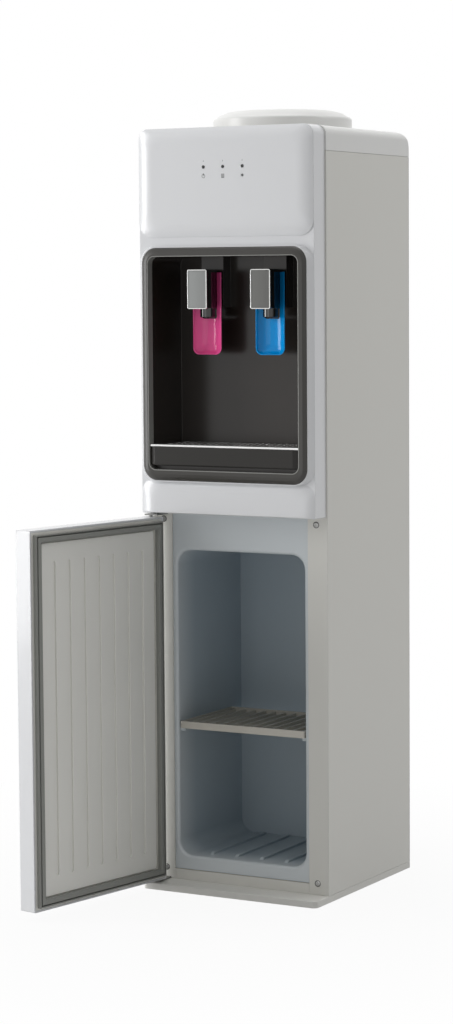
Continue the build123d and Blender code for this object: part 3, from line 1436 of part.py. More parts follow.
# Drain: a hose fitting from the hot tank with a screw cap outside
with BuildPart() as drain_outlet:
    hot_outlet = seat_y + hot_tank_radius
    tube(
        (
            (0, hot_outlet + 0.2, drain_z),
            (0, pipe_y - 2, drain_z),
            (drain_x, pipe_y - 2, drain_z),
            (drain_x, cabinet_depth - 4, drain_z),
        ),
        drain_tube,
        pipe_bend,
    )
    rod_y(drain_x, drain_z, 8.0, cabinet_depth - 5, cabinet_depth + 12)
    rod_y(drain_x, drain_z, 12.0, cabinet_depth, cabinet_depth + 2.0)
    rod_y(drain_x, drain_z, 5.5, cabinet_depth - 2, cabinet_depth + 13, mode=Mode.SUBTRACT)
save(drain_outlet, "drain_outlet")

with BuildPart() as drain_cap:
    with BuildSketch(front(cabinet_depth + 16)):
        with Locations((drain_x, drain_z)):
            RegularPolygon(12.0, 12)
    extrude(amount=13.5)
    rod_y(drain_x, drain_z, 8.3, cabinet_depth + 1, cabinet_depth + 13, mode=Mode.SUBTRACT)
save(drain_cap, "drain_cap")

# Gland where the supply cord enters
with BuildPart() as cord_gland:
    rod_y(gland_x, gland_z, 6.0, cabinet_depth - 6, cabinet_depth + 9)
    rod_y(gland_x, gland_z, 9.0, cabinet_depth, cabinet_depth + 3)
    rod_y(gland_x, gland_z, 8.5, cabinet_depth - 4, cabinet_depth - sheet)
    rod_y(gland_x, gland_z, 3.6, cabinet_depth - 7, cabinet_depth + 10, mode=Mode.SUBTRACT)
save(cord_gland, "cord_gland")
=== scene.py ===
import json
import math

import bpy
from mathutils import Matrix, Vector


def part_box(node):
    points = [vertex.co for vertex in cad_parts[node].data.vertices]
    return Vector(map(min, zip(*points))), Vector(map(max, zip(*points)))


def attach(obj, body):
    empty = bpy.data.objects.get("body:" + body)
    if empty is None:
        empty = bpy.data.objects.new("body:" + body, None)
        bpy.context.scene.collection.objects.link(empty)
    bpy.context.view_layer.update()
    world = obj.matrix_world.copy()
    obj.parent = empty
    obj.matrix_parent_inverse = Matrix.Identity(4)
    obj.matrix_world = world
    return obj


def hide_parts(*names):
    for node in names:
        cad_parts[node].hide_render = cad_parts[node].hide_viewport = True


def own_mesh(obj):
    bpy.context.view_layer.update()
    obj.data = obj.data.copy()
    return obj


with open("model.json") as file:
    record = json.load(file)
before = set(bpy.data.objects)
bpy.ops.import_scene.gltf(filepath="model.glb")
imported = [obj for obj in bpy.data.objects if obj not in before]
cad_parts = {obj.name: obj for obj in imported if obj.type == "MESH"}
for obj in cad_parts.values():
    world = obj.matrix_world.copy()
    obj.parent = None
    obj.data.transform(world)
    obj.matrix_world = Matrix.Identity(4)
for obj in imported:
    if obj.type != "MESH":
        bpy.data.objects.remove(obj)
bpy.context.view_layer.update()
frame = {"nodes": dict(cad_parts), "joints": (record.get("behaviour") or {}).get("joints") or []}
nodes = frame["nodes"]
print("frame loaded:", len(nodes), "nodes")


def tone(text):
    # a colour as painters' programs write it, made linear for the shader
    parts = [int(text[i:i + 2], 16) / 255 for i in (0, 2, 4)]
    linear = [p / 12.92 if p <= 0.04045 else ((p + 0.055) / 1.055) ** 2.4 for p in parts]
    return (*linear, 1.0)


def darker(colour, share):
    return (*(share * c for c in colour[:3]), 1.0)


cameraView = {
    "place": (1.79207, -3.22092, 0.84004),
    "yaw": 29.350,
    "pitch": 4.895,
    "roll": -0.417,
    "focalPixels": 2729.69,
    "imageHeight": 1024,
    "sensor": 36.0,
    "clipEnd": 60.0,
}


def placeCamera():
    yaw, pitch, roll = (math.radians(cameraView[key]) for key in ("yaw", "pitch", "roll"))
    ahead = Vector((-math.sin(yaw) * math.cos(pitch), math.cos(yaw) * math.cos(pitch), -math.sin(pitch)))
    level = Vector((math.cos(yaw), math.sin(yaw), 0))
    upright = level.cross(ahead)
    right = level * math.cos(roll) + upright * math.sin(roll)
    top = upright * math.cos(roll) - level * math.sin(roll)
    bpy.ops.object.camera_add()
    camera = bpy.context.object
    camera.name = "viewCamera"
    turn = Matrix((right, top, -ahead)).transposed().to_4x4()
    camera.matrix_world = Matrix.Translation(cameraView["place"]) @ turn
    camera.data.sensor_width = cameraView["sensor"]
    camera.data.lens = cameraView["focalPixels"] / cameraView["imageHeight"] * cameraView["sensor"]
    camera.data.clip_end = cameraView["clipEnd"]
    bpy.context.scene.camera = camera


bpy.ops.object.select_all(action="DESELECT")
placeCamera()
print("camera placed")


class Signal:
    # one output socket; sums on it add Math nodes
    def __init__(self, graph, socket):
        self.graph = graph
        self.socket = socket

    def combine(self, operation, first, second):
        return self.graph.work(operation, first, second)

    def __add__(self, other):
        return self.combine("ADD", self, other)

    def __radd__(self, other):
        return self.combine("ADD", other, self)

    def __sub__(self, other):
        return self.combine("SUBTRACT", self, other)

    def __rsub__(self, other):
        return self.combine("SUBTRACT", other, self)

    def __mul__(self, other):
        return self.combine("MULTIPLY", self, other)

    def __rmul__(self, other):
        return self.combine("MULTIPLY", other, self)

    def __gt__(self, other):
        return self.combine("GREATER_THAN", self, other)

    def __lt__(self, other):
        return self.combine("LESS_THAN", self, other)


class Graph:
    def __init__(self, tree):
        self.tree = tree
        self.tree.nodes.clear()

    def node(self, kind, settings=None, sockets=None, output=0):
        made = self.tree.nodes.new(kind)
        for key, value in (settings or {}).items():
            setattr(made, key, value)
        for key, value in (sockets or {}).items():
            if isinstance(value, Signal):
                self.tree.links.new(value.socket, made.inputs[key])
            else:
                made.inputs[key].default_value = value
        return Signal(self, made.outputs[output]) if made.outputs else None

    def work(self, operation, *values):
        return self.node("ShaderNodeMath", {"operation": operation}, dict(enumerate(values)))

    def seen(self):
        # 1 where the camera looks at a thing itself, in a mirror or through glass
        rays = [self.node("ShaderNodeLightPath", output=f"Is {kind} Ray")
                for kind in ("Camera", "Glossy", "Transmission")]
        return rays[0] + rays[1] + rays[2]


edgeValues = {"softRadius": 0.0009, "samples": 4}


class Finish(Graph):
    def __init__(self, name):
        self.material = bpy.data.materials.new(name)
        self.material.use_nodes = True
        super().__init__(self.material.node_tree)
        self.place = self.node("ShaderNodeTexCoord", output="Object")

    def noise(self, scale, detail, stretch=(1.0, 1.0, 1.0)):
        spread = self.node("ShaderNodeMapping", None, {"Vector": self.place, "Scale": stretch})
        return self.node("ShaderNodeTexNoise", None, {"Vector": spread, "Scale": scale, "Detail": detail})

    def axis(self, letter):
        return self.node("ShaderNodeSeparateXYZ", None, {0: self.place}, output=letter)

    def ramp(self, value, low, high):
        # 0 at low, 1 at high
        return self.node("ShaderNodeMapRange", None, {"Value": value, "From Min": low, "From Max": high})

    def between(self, factor, first, second):
        # a colour between two others
        return self.node("ShaderNodeMix", {"data_type": "RGBA"}, {"Factor": factor, 6: first, 7: second},
                         output=2)

    def surface(self, colour, roughness, metallic=0.0, coat=0.0, height=None, depth=0.0, soft=True,
                more=None):
        sockets = {"Base Color": colour, "Roughness": roughness, "Metallic": metallic, "Coat Weight": coat}
        sockets.update(more or {})
        if soft:  # the moulded or folded edge is never quite sharp
            sockets["Normal"] = self.node("ShaderNodeBevel", {"samples": edgeValues["samples"]},
                                          {"Radius": edgeValues["softRadius"]})
        if height is not None:
            bump = {"Height": height, "Distance": depth}
            if soft:
                bump["Normal"] = sockets["Normal"]
            sockets["Normal"] = self.node("ShaderNodeBump", None, bump)
        shader = self.node("ShaderNodeBsdfPrincipled", None, sockets)
        self.node("ShaderNodeOutputMaterial", None, {"Surface": shader})
        return self.material


def dress(material, *names):
    for name in names:
        nodes[name].data.materials.clear()
        nodes[name].data.materials.append(material)


# each dictionary below holds the looks of one kind of finish by name, then what they share
paintValues = {
    "cabinetPaint": {"tone": "dbdad4", "roughness": 0.36, "coat": 0.0},
    "coverWhite": {"tone": "e5e5e3", "roughness": 0.3, "coat": 0.0},
    "mouldedWhite": {"tone": "e2e3e5", "roughness": 0.24, "coat": 0.2},
    "plinthGrey": {"tone": "dfded9", "roughness": 0.42, "coat": 0.0},
    "cloudScale": 5.0,
    "cloudShare": 0.985,
    "cloudRoughness": 0.03,
    "peelScale": 900.0,
    "peelDepth": 0.00002,
    "coatRoughness": 0.08,
    "detail": 1.0,
}


def satinPaint(name):
    # powder coat or moulded shell: a fine orange peel and a faint cloudiness
    values, look = paintValues, paintValues[name]
    finish = Finish(name)
    base = tone(look["tone"])
    cloud = finish.noise(values["cloudScale"], values["detail"])
    shade = finish.between(cloud, darker(base, values["cloudShare"]), base)
    peel = finish.noise(values["peelScale"], values["detail"])
    return finish.surface(shade, look["roughness"] + values["cloudRoughness"] * cloud, coat=look["coat"],
                          height=peel, depth=values["peelDepth"],
                          more={"Coat Roughness": values["coatRoughness"]})


dress(satinPaint("cabinetPaint"), "side_panel_left", "side_panel_right", "front_rails")
dress(satinPaint("coverWhite"), "top_cover", "bottle_seat", "feed_spike")
dress(satinPaint("mouldedWhite"), "head_panel", "front_frame", "door_shell")
dress(satinPaint("plinthGrey"), "base_plinth", "tank_baffle")
print("white finishes made")

grainValues = {
    "bezelPlastic": {"tone": "363430", "roughness": 0.26, "grain": 2600.0, "depth": 0.00001, "shine": 0.5},
    "trayPlastic": {"tone": "252320", "roughness": 0.3, "grain": 2600.0, "depth": 0.00001, "shine": 0.3},
    "grommetRubber": {"tone": "2a2a28", "roughness": 0.55, "grain": 1500.0, "depth": 0.00003, "shine": 0.5},
    "switchFrame": {"tone": "1c1c1c", "roughness": 0.5, "grain": 1500.0, "depth": 0.00002, "shine": 0.5},
    "gasketRubber": {"tone": "90918c", "roughness": 0.5, "grain": 1500.0, "depth": 0.00003, "shine": 0.5},
    "markInk": {"tone": "3c3d3e", "roughness": 0.5, "grain": 1500.0, "depth": 0.000005, "shine": 0.5},
    "speckShare": 0.86,
    "speckRoughness": 0.08,
    "detail": 2.0,
}


def grainedPlastic(name, paintedHighlight=None):
    # spark-eroded grain; the second argument, if given, tells where a painted highlight lies along a polished
    # edge, its pale tone and what the polish takes off the roughness
    values, look = grainValues, grainValues[name]
    finish = Finish(name)
    base = tone(look["tone"])
    specks = finish.noise(look["grain"], values["detail"])
    shade = finish.between(specks, darker(base, values["speckShare"]), base)
    roughness = look["roughness"] + values["speckRoughness"] * specks
    if paintedHighlight:
        highlightMask, highlightTone, polish = paintedHighlight(finish)
        shade = finish.between(highlightMask, shade, tone(highlightTone))
        roughness = roughness - polish * highlightMask
    return finish.surface(shade, roughness, height=specks, depth=look["depth"],
                          more={"Specular IOR Level": look["shine"]})


# the lip's pale tone is a painted highlight along the opening's inner edge; polish lowers its roughness
lipHighlightValues = {
    "half": 0.1144,
    "low": 0.582,
    "high": 0.8695,
    "corner": 0.010,
    "width": 0.0011,
    "tone": "8f8f8b",
    "polish": 0.1,
}


def bezelLipHighlight(finish):
    # a polished lip round the bezel's rounded opening, with a painted highlight: a pale line along its inner
    # edge
    values = lipHighlightValues
    corner = values["corner"]
    middle, reach = (values["low"] + values["high"]) / 2, (values["high"] - values["low"]) / 2
    across = finish.work("ABSOLUTE", finish.axis("X")) - (values["half"] - corner)
    along = finish.work("ABSOLUTE", finish.axis("Z") - middle) - (reach - corner)
    outAcross = finish.work("MAXIMUM", across, 0.0)
    outAlong = finish.work("MAXIMUM", along, 0.0)
    outside = finish.work("SQRT", outAcross * outAcross + outAlong * outAlong)
    inside = finish.work("MINIMUM", finish.work("MAXIMUM", across, along), 0.0)
    return (outside + inside) < (corner + values["width"]), values["tone"], values["polish"]


glossValues = {
    "alcoveGloss": {"tone": "292420", "roughness": 0.2, "coat": 0.0, "shine": 0.5, "waviness": 0.00012},
    "tapBlack": {"tone": "131312", "roughness": 0.12, "coat": 0.5, "shine": 0.5, "waviness": 0.00012},
    "paddlePink": {"tone": "ff5ea6", "roughness": 0.05, "coat": 0.0, "shine": 0.22, "waviness": 0.00004},
    "paddleBlue": {"tone": "0098e4", "roughness": 0.05, "coat": 0.0, "shine": 0.22, "waviness": 0.00004},
    "blackEnamel": {"tone": "101010", "roughness": 0.28, "coat": 0.2, "shine": 0.5, "waviness": 0.00012},
    "hotKey": {"tone": "a01818", "roughness": 0.2, "coat": 0.3, "shine": 0.5, "waviness": 0.00012},
    "coldKey": {"tone": "167038", "roughness": 0.2, "coat": 0.3, "shine": 0.5, "waviness": 0.00012},
    "smokedLens": {"tone": "1d1f1e", "roughness": 0.1, "coat": 0.6, "shine": 0.5, "waviness": 0.00012},
    "waveScale": 22.0,
    "waveShare": 0.93,
    "waveRoughness": 0.03,
    "coatRoughness": 0.05,
    "detail": 1.0,
}


def glossPlastic(name):
    # a polished mould: only long, faint waves
    values, look = glossValues, glossValues[name]
    finish = Finish(name)
    base = tone(look["tone"])
    waves = finish.noise(values["waveScale"], values["detail"])
    shade = finish.between(waves, darker(base, values["waveShare"]), base)
    return finish.surface(shade, look["roughness"] + values["waveRoughness"] * waves, coat=look["coat"],
                          height=waves, depth=look["waviness"],
                          more={"Coat Roughness": values["coatRoughness"],
                                "Specular IOR Level": look["shine"]})


dress(grainedPlastic("bezelPlastic", bezelLipHighlight), "bezel")
dress(grainedPlastic("trayPlastic"), "drip_tray")
dress(glossPlastic("alcoveGloss"), "alcove_liner")
dress(glossPlastic("tapBlack"), "hot_tap_body", "cold_tap_body", "tap_nuts", "drain_cap", "thermostats")
dress(glossPlastic("paddlePink"), "hot_paddle")
dress(glossPlastic("paddleBlue"), "cold_paddle")
print("alcove finishes made")

metalValues = {
    "gratePlating": {"tone": "e4e4e3", "roughness": 0.2, "smear": 0.05},
    "zincSteel": {"tone": "8a8a88", "roughness": 0.3, "smear": 0.05},
    "screwSteel": {"tone": "9b9b99", "roughness": 0.28, "smear": 0.05},
    # the dark ring round each screw head is painted shadow
    "screwShadeRing": {"tone": "3a3a38", "roughness": 0.4, "smear": 0.05},
    "copperTube": {"tone": "c0724a", "roughness": 0.25, "smear": 0.12},
    "hazeScale": 60.0,
    "detail": 3.0,
}


def platedMetal(name):
    values, look = metalValues, metalValues[name]
    finish = Finish(name)
    haze = finish.noise(values["hazeScale"], values["detail"])
    return finish.surface(tone(look["tone"]), look["roughness"] + look["smear"] * haze, metallic=1.0)


platingValues = {
    "rimTone": "dededc",
    # the face and side tones are painted shade: both covers are the same chrome
    "hotFaceShade": "8a8c8b",
    "coldFaceShade": "6c6c6a",
    "sideShadeTone": "8d8e8d",
    "rimWidth": 0.0013,
    "frontDepth": 0.0008,
    "grainScale": 40.0,
    "grainStretch": (40.0, 1.0, 1.0),
    "detail": 2.0,
    "slopeShadeShare": 0.6,
    "grainShare": 0.9,
    "roughness": 0.08,
    "faceRoughness": 0.2,
    "grainRoughness": 0.04,
}


def tapPlating(name, node, faceShadeTone):
    # a bright polished rim round a brushed face; the face's dark tone, its fall towards the right and the
    # difference between the hot and cold covers are painted shade, and so is the sides' darker tone
    values = platingValues
    finish = Finish(name)
    low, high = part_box(node)
    rim = values["rimWidth"]
    x, y, z = (finish.axis(letter) for letter in "XYZ")
    inside = (x > low.x + rim) * (x < high.x - rim) * (z > low.z + rim) * (z < high.z - rim)
    front = y < low.y + values["frontDepth"]
    grain = finish.noise(values["grainScale"], values["detail"], stretch=values["grainStretch"])
    # painted shade: the face darkens towards its right side
    slopeShade = finish.ramp(x, low.x, high.x)
    face = finish.between(slopeShade, tone(faceShadeTone), darker(tone(faceShadeTone), values["slopeShadeShare"]))
    brushed = finish.between(grain, darker(tone(faceShadeTone), values["grainShare"]), face)
    plain = finish.between(front, tone(values["sideShadeTone"]), tone(values["rimTone"]))
    shade = finish.between(front * inside, plain, brushed)
    roughness = values["roughness"] + values["faceRoughness"] * (front * inside)
    return finish.surface(shade, roughness + values["grainRoughness"] * grain, metallic=1.0)


dress(tapPlating("hotPlatingShaded", "hot_tap_cover", platingValues["hotFaceShade"]), "hot_tap_cover")
dress(tapPlating("coldPlatingShaded", "cold_tap_cover", platingValues["coldFaceShade"]), "cold_tap_cover")
dress(platedMetal("gratePlating"), "drip_grate")
dress(platedMetal("zincSteel"), "hinge_plates", "tap_pins", "hot_tap_spring", "cold_tap_spring",
      "heater_band")
print("tap finishes made")

sheetValues = {
    "shelfMoulding": {"tone": "c8c4ba", "roughness": 0.16},
    "innerPanelSheet": {"tone": "f0efe9", "roughness": 0.34},
    "siliconeHose": {"tone": "d8dad6", "roughness": 0.45},
    "driftScale": 7.0,
    "driftShare": 0.95,
    "fineScale": 420.0,
    "fineRoughness": 0.05,
    "fineDepth": 0.00002,
    "detail": 2.0,
}


def sheetPlastic(name):
    # vacuum-formed sheet: slow thickness changes and a soft sheen
    values, look = sheetValues, sheetValues[name]
    finish = Finish(name)
    base = tone(look["tone"])
    drift = finish.noise(values["driftScale"], values["detail"])
    shade = finish.between(drift, darker(base, values["driftShare"]), base)
    fine = finish.noise(values["fineScale"], values["detail"])
    return finish.surface(shade, look["roughness"] + values["fineRoughness"] * fine, height=fine,
                          depth=values["fineDepth"])


# the niche tone is painted shade on the same sheet as the flange
linerValues = {
    "flangeTone": "cdd3d6",
    "nicheShadeTone": "aebac2",
    "flangeBack": 0.003,
    "nicheStart": 0.05,
    "roughness": 0.3,
}


def linerShadedSheet(name):
    # painted shade: the formed niche is darker and bluer than the flange in front, growing in from the
    # flange's back
    values, sheet = linerValues, sheetValues
    finish = Finish(name)
    nicheShade = finish.ramp(finish.axis("Y"), values["flangeBack"], values["nicheStart"])
    fine = finish.noise(sheet["fineScale"], sheet["detail"])
    shade = finish.between(nicheShade, tone(values["flangeTone"]), tone(values["nicheShadeTone"]))
    return finish.surface(shade, values["roughness"] + sheet["fineRoughness"] * fine, height=fine,
                          depth=sheet["fineDepth"])


dress(linerShadedSheet("linerShadedSheet"), "fridge_liner")
dress(sheetPlastic("shelfMoulding"), "fridge_shelf")
dress(sheetPlastic("innerPanelSheet"), "door_inner_panel")
dress(grainedPlastic("grommetRubber"), "compressor_grommets")
print("refrigerator finishes made")

zincValues = {
    "flakeScale": 110.0,
    "darkTone": "8f9294",
    "paleTone": "a8abad",
    "roughness": 0.34,
    "flakeRoughness": 0.14,
    "metallic": 0.85,
}


def galvanisedSheet(name):
    # zinc flakes of different greys
    values = zincValues
    finish = Finish(name)
    flakes = finish.node("ShaderNodeTexVoronoi", None,
                         {"Vector": finish.place, "Scale": values["flakeScale"]}, output="Color")
    grey = finish.node("ShaderNodeRGBToBW", None, {0: flakes})
    shade = finish.between(grey, tone(values["darkTone"]), tone(values["paleTone"]))
    return finish.surface(shade, values["roughness"] + values["flakeRoughness"] * grey,
                          metallic=values["metallic"])


steelValues = {
    "tone": "b4b5b6",
    "lineScale": 30.0,
    "lineStretch": (1.0, 1.0, 45.0),
    "detail": 4.0,
    "roughness": 0.26,
    "lineRoughness": 0.16,
    "lineDepth": 0.00001,
}


def brushedSteel(name):
    values = steelValues
    finish = Finish(name)
    brushing = finish.noise(values["lineScale"], values["detail"], stretch=values["lineStretch"])
    return finish.surface(tone(values["tone"]), values["roughness"] + values["lineRoughness"] * brushing,
                          metallic=1.0, height=brushing, depth=values["lineDepth"])


foamValues = {
    "hollowTone": "d9c98c",
    "wallTone": "c8b676",
    "cellScale": 900.0,
    "cellDepth": 0.0003,
    "roughness": 0.85,
}


def rigidFoam(name):
    # foam cells
    values = foamValues
    finish = Finish(name)
    cells = finish.node("ShaderNodeTexVoronoi", None, {"Vector": finish.place, "Scale": values["cellScale"]})
    shade = finish.between(cells, tone(values["hollowTone"]), tone(values["wallTone"]))
    return finish.surface(shade, values["roughness"], height=cells, depth=values["cellDepth"], soft=False)


boardValues = {
    "boardTone": "1d5a34",
    "trackTone": "2f7a4a",
    "trackScale": 240.0,
    "fields": (0.0, 0.2),
    "roughness": 0.35,
}


def circuitBoard(name):
    # paler tracks between darker fields
    values = boardValues
    finish = Finish(name)
    first, second = ((field, field, field, 1.0) for field in values["fields"])
    tracks = finish.node("ShaderNodeTexBrick", None,
                         {"Vector": finish.place, "Scale": values["trackScale"], "Color1": first,
                          "Color2": second, "Mortar": (1.0, 1.0, 1.0, 1.0)})
    grey = finish.node("ShaderNodeRGBToBW", None, {0: tracks})
    shade = finish.between(grey, tone(values["boardTone"]), tone(values["trackTone"]))
    return finish.surface(shade, values["roughness"], soft=False)


dress(galvanisedSheet("galvanisedSheet"), "back_panel", "machine_decks")
dress(brushedSteel("stainlessSteel"), "hot_tank", "cold_tank")
dress(rigidFoam("rigidFoam"), "fridge_insulation", "hot_tank_insulation", "cold_tank_insulation")
dress(platedMetal("copperTube"), "refrigerant_pipes", "evaporator_coil")
dress(glossPlastic("blackEnamel"), "compressor", "condenser_coil", "condenser_wires")
dress(sheetPlastic("siliconeHose"), "tank_feed_hose", "cold_tap_hose", "hot_tap_hose", "drain_outlet",
      "hot_tap_plunger", "cold_tap_plunger")
dress(circuitBoard("circuitBoard"), "wiring_board", "led_board")
dress(grainedPlastic("switchFrame"), "switch_plate", "cord_gland")
dress(glossPlastic("hotKey"), "hot_switch")
dress(glossPlastic("coldKey"), "cold_switch")
dress(glossPlastic("smokedLens"), "led_lenses")
print("inner finishes made")

meshValues = {"mergeDistance": 0.000005, "smoothAngle": 30.0, "facing": 0.9, "roundSides": 40}
quarterTurn = math.radians(90.0)


def pickFaces(piece, test):
    # selects the faces whose middle and normal pass the test, and stays in edit mode
    bpy.context.view_layer.objects.active = piece
    bpy.ops.object.mode_set(mode="EDIT")
    bpy.ops.mesh.select_mode(type="FACE")
    bpy.ops.mesh.select_all(action="DESELECT")
    bpy.ops.object.mode_set(mode="OBJECT")
    for face in piece.data.polygons:
        face.select = test(face.center, face.normal)
    bpy.ops.object.mode_set(mode="EDIT")


def looksBack(normal):
    return normal.y > meshValues["facing"]


def looksForward(normal):
    return normal.y < -meshValues["facing"]


def addBox(name, low, high):
    bpy.ops.object.select_all(action="DESELECT")
    middle = [(a + b) / 2 for a, b in zip(low, high)]
    bpy.ops.mesh.primitive_cube_add(size=1.0, location=middle)
    piece = bpy.context.object
    piece.name = name
    piece.scale = [b - a for a, b in zip(low, high)]
    bpy.ops.object.transform_apply(location=True, rotation=True, scale=True)
    return piece


def closeUp(piece):
    # merges, turns the faces outwards and smooths what isn't an edge
    bpy.context.view_layer.objects.active = piece
    bpy.ops.object.mode_set(mode="EDIT")
    bpy.ops.mesh.select_all(action="SELECT")
    bpy.ops.mesh.remove_doubles(threshold=meshValues["mergeDistance"])
    bpy.ops.mesh.normals_make_consistent(inside=False)
    bpy.ops.object.mode_set(mode="OBJECT")
    bpy.ops.object.select_all(action="DESELECT")
    piece.select_set(True)
    bpy.ops.object.shade_smooth_by_angle(angle=math.radians(meshValues["smoothAngle"]))


def joinPieces(name, pieces):
    bpy.ops.object.select_all(action="DESELECT")
    for piece in pieces:
        piece.select_set(True)
    bpy.context.view_layer.objects.active = pieces[0]
    bpy.ops.object.join()
    pieces[0].name = name
    return pieces[0]


gasketValues = {
    "half": 0.1264,
    "low": 0.01835,
    "high": 0.50965,
    "back": -0.00705,
    "front": -0.0016,
    "openAngle": 100.07,
    "steps": [(0.0004, 0.0004), (0.0014, 0.0), (0.0002, -0.0034), (0.0015, 0.0), (0.0002, 0.0036),
              (0.0052, 0.0), (0.0006, -0.0008), (0.0011, 0.0)],  # how far in, and how far up
    "innerGap": 0.001,
}


def makeGasket():
    # a bellows seal: a thin outer lip, a groove and the broad magnetic band, one closed ring
    values = gasketValues
    ring = addBox("gasketSeal", (-values["half"], values["back"], values["low"]),
                  (values["half"], values["front"], values["high"]))
    pickFaces(ring, lambda middle, normal: looksBack(normal))
    for width, rise in values["steps"]:
        bpy.ops.mesh.inset(thickness=width, depth=rise)
    bpy.ops.object.mode_set(mode="OBJECT")
    reach = sum(width for width, rise in values["steps"])
    pickFaces(ring, lambda middle, normal: looksForward(normal))
    bpy.ops.mesh.inset(thickness=reach, depth=0.0)
    bpy.ops.object.mode_set(mode="OBJECT")
    innerHalf = values["half"] - reach - values["innerGap"]
    pickFaces(ring, lambda middle, normal: (looksBack(normal) or looksForward(normal))
              and abs(middle.x) < innerHalf and values["low"] + reach < middle.z < values["high"] - reach)
    bpy.ops.mesh.bridge_edge_loops()
    bpy.ops.object.mode_set(mode="OBJECT")
    hinge = next(j for j in frame["joints"] if j["name"] == "door_hinge")
    pivot = Matrix.Translation((*hinge["pos_m"][:2], 0.0))
    turn = Matrix.Rotation(-math.radians(values["openAngle"]), 4, "Z")
    ring.matrix_world = pivot @ turn @ pivot.inverted()
    bpy.ops.object.select_all(action="DESELECT")
    ring.select_set(True)
    bpy.ops.object.transform_apply(location=True, rotation=True, scale=True)
    closeUp(ring)
    ring.data.materials.append(grainedPlastic("gasketRubber"))
    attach(ring, "door")
    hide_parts("door_gasket")

makeGasket()
print("gasket made")

screwValues = {
    "places": [(-0.118, 0.511), (0.118, 0.511), (-0.118, 0.025), (0.118, 0.025)],
    "shadeRingRadius": 0.0044,
    "headRadius": 0.0035,
    "shankRadius": 0.0019,
    "shankEnd": 0.0068,
    "shadeRingHeight": 0.00025,
    "shadeRingStep": 0.0002,
    "headHeight": 0.00075,
    "domeStart": 0.7,
    "domeShare": 0.86,
    "slotLength": 0.0042,
    "slotWidth": 0.0009,
    "slotDepth": 0.0005,
    "slotRoom": 0.001,
    "shadeRingFrom": 0.0001,
}


def makeScrew():
    # a flat pan head with a cross recess, on a thin dark ring that is painted shadow round the head
    values = screwValues
    bpy.ops.object.select_all(action="DESELECT")
    bpy.ops.mesh.primitive_cylinder_add(vertices=meshValues["roundSides"], radius=values["shankRadius"],
                                        depth=values["shankEnd"], location=(0, values["shankEnd"] / 2, 0),
                                        rotation=(quarterTurn, 0, 0))
    screw = bpy.context.object
    bpy.ops.object.transform_apply(location=True, rotation=True, scale=True)
    pickFaces(screw, lambda middle, normal: looksForward(normal))
    steps = [(values["shadeRingRadius"], 0.0), (values["shadeRingRadius"], values["shadeRingHeight"]),
             (values["headRadius"] + values["shadeRingStep"], values["shadeRingHeight"]),
             (values["headRadius"], values["headHeight"] * values["domeStart"]),
             (values["headRadius"] * values["domeShare"], values["headHeight"])]
    radius, height = values["shankRadius"], 0.0
    for nextRadius, nextHeight in steps:
        bpy.ops.mesh.extrude_region_move(TRANSFORM_OT_translate={"value": (0, height - nextHeight, 0)})
        share = nextRadius / radius
        bpy.ops.transform.resize(value=(share, 1.0, share))
        radius, height = nextRadius, nextHeight
    bpy.ops.object.mode_set(mode="OBJECT")
    long, wide = values["slotLength"] / 2, values["slotWidth"] / 2
    top, floor = -values["headHeight"] - values["slotRoom"], values["slotDepth"] - values["headHeight"]
    bars = [addBox("bar", (-a, top, -b), (a, floor, b)) for a, b in ((long, wide), (wide, long))]
    for bar in bars:
        cut = screw.modifiers.new("recess", "BOOLEAN")
        cut.object = bar
        cut.operation = "DIFFERENCE"
        cut.solver = "EXACT"
        bpy.context.view_layer.objects.active = screw
        bpy.ops.object.modifier_apply(modifier="recess")
        bpy.data.objects.remove(bar)
    closeUp(screw)
    screw.data.materials.append(platedMetal("screwSteel"))
    screw.data.materials.append(platedMetal("screwShadeRing"))
    # faces out past the head take the dark tone: painted shadow round the head
    shadeRingStart = values["headRadius"] + values["shadeRingFrom"]
    for face in screw.data.polygons:
        face.material_index = int(math.hypot(face.center.x, face.center.z) > shadeRingStart)
    return screw


def makeScrews():
    first = makeScrew()
    copies = []
    for x, z in screwValues["places"]:
        screw = first.copy()
        screw.data = first.data.copy()
        bpy.context.collection.objects.link(screw)
        screw.data.transform(Matrix.Translation((x, 0.0, z)))
        copies.append(screw)
    bpy.data.objects.remove(first)
    screws = joinPieces("panelScrews", copies)
    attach(screws, "cabinet")
    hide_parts("flange_screws")


makeScrews()
print("screws made")

markValues = {
    "centres": [-0.0296, 0.0, 0.0296],
    "face": -0.0377,
    "rise": 0.00006,
    "sink": 0.0003,
    "iconHeight": 0.9760,
    "iconRadius": 0.0026,
    "tickHeight": 0.9958,
    "tickLength": 0.0022,
    "stroke": 0.00055,
    # shares of the icon's radius, or of the stroke for widths, pitch and base
    "powerBar": {"rise": 0.8, "length": 1.3, "width": 1.4},
    "heatBars": {"steps": (-1.5, -0.5, 0.5, 1.5), "pitch": 2.2, "length": 2.0, "base": 8.0},
    "flake": {"angles": (0.0, 60.0, 120.0), "length": 2.1, "ring": 0.55, "ringWidth": 0.7},
}


def printedBar(x, z, length, width, angle=0.0):
    # a bar along Z, turned in the panel's plane
    values = markValues
    bar = addBox("bar", (-width / 2, values["face"] - values["rise"], -length / 2),
                 (width / 2, values["face"] + values["sink"], length / 2))
    bar.data.transform(Matrix.Translation((x, 0, z)) @ Matrix.Rotation(math.radians(angle), 4, "Y"))
    return bar


def printedRing(x, z, radius, width):
    values = markValues
    depth = values["sink"] + values["rise"]
    place = (x, values["face"] + (values["sink"] - values["rise"]) / 2, z)
    bpy.ops.object.select_all(action="DESELECT")
    bpy.ops.mesh.primitive_cylinder_add(vertices=meshValues["roundSides"], radius=radius, depth=depth,
                                        end_fill_type="NOTHING", location=place, rotation=(quarterTurn, 0, 0))
    ring = bpy.context.object
    bpy.ops.object.transform_apply(location=True, rotation=True, scale=True)
    wall = ring.modifiers.new("wall", "SOLIDIFY")
    wall.thickness = width
    wall.offset = -1.0
    bpy.ops.object.modifier_apply(modifier="wall")
    return ring


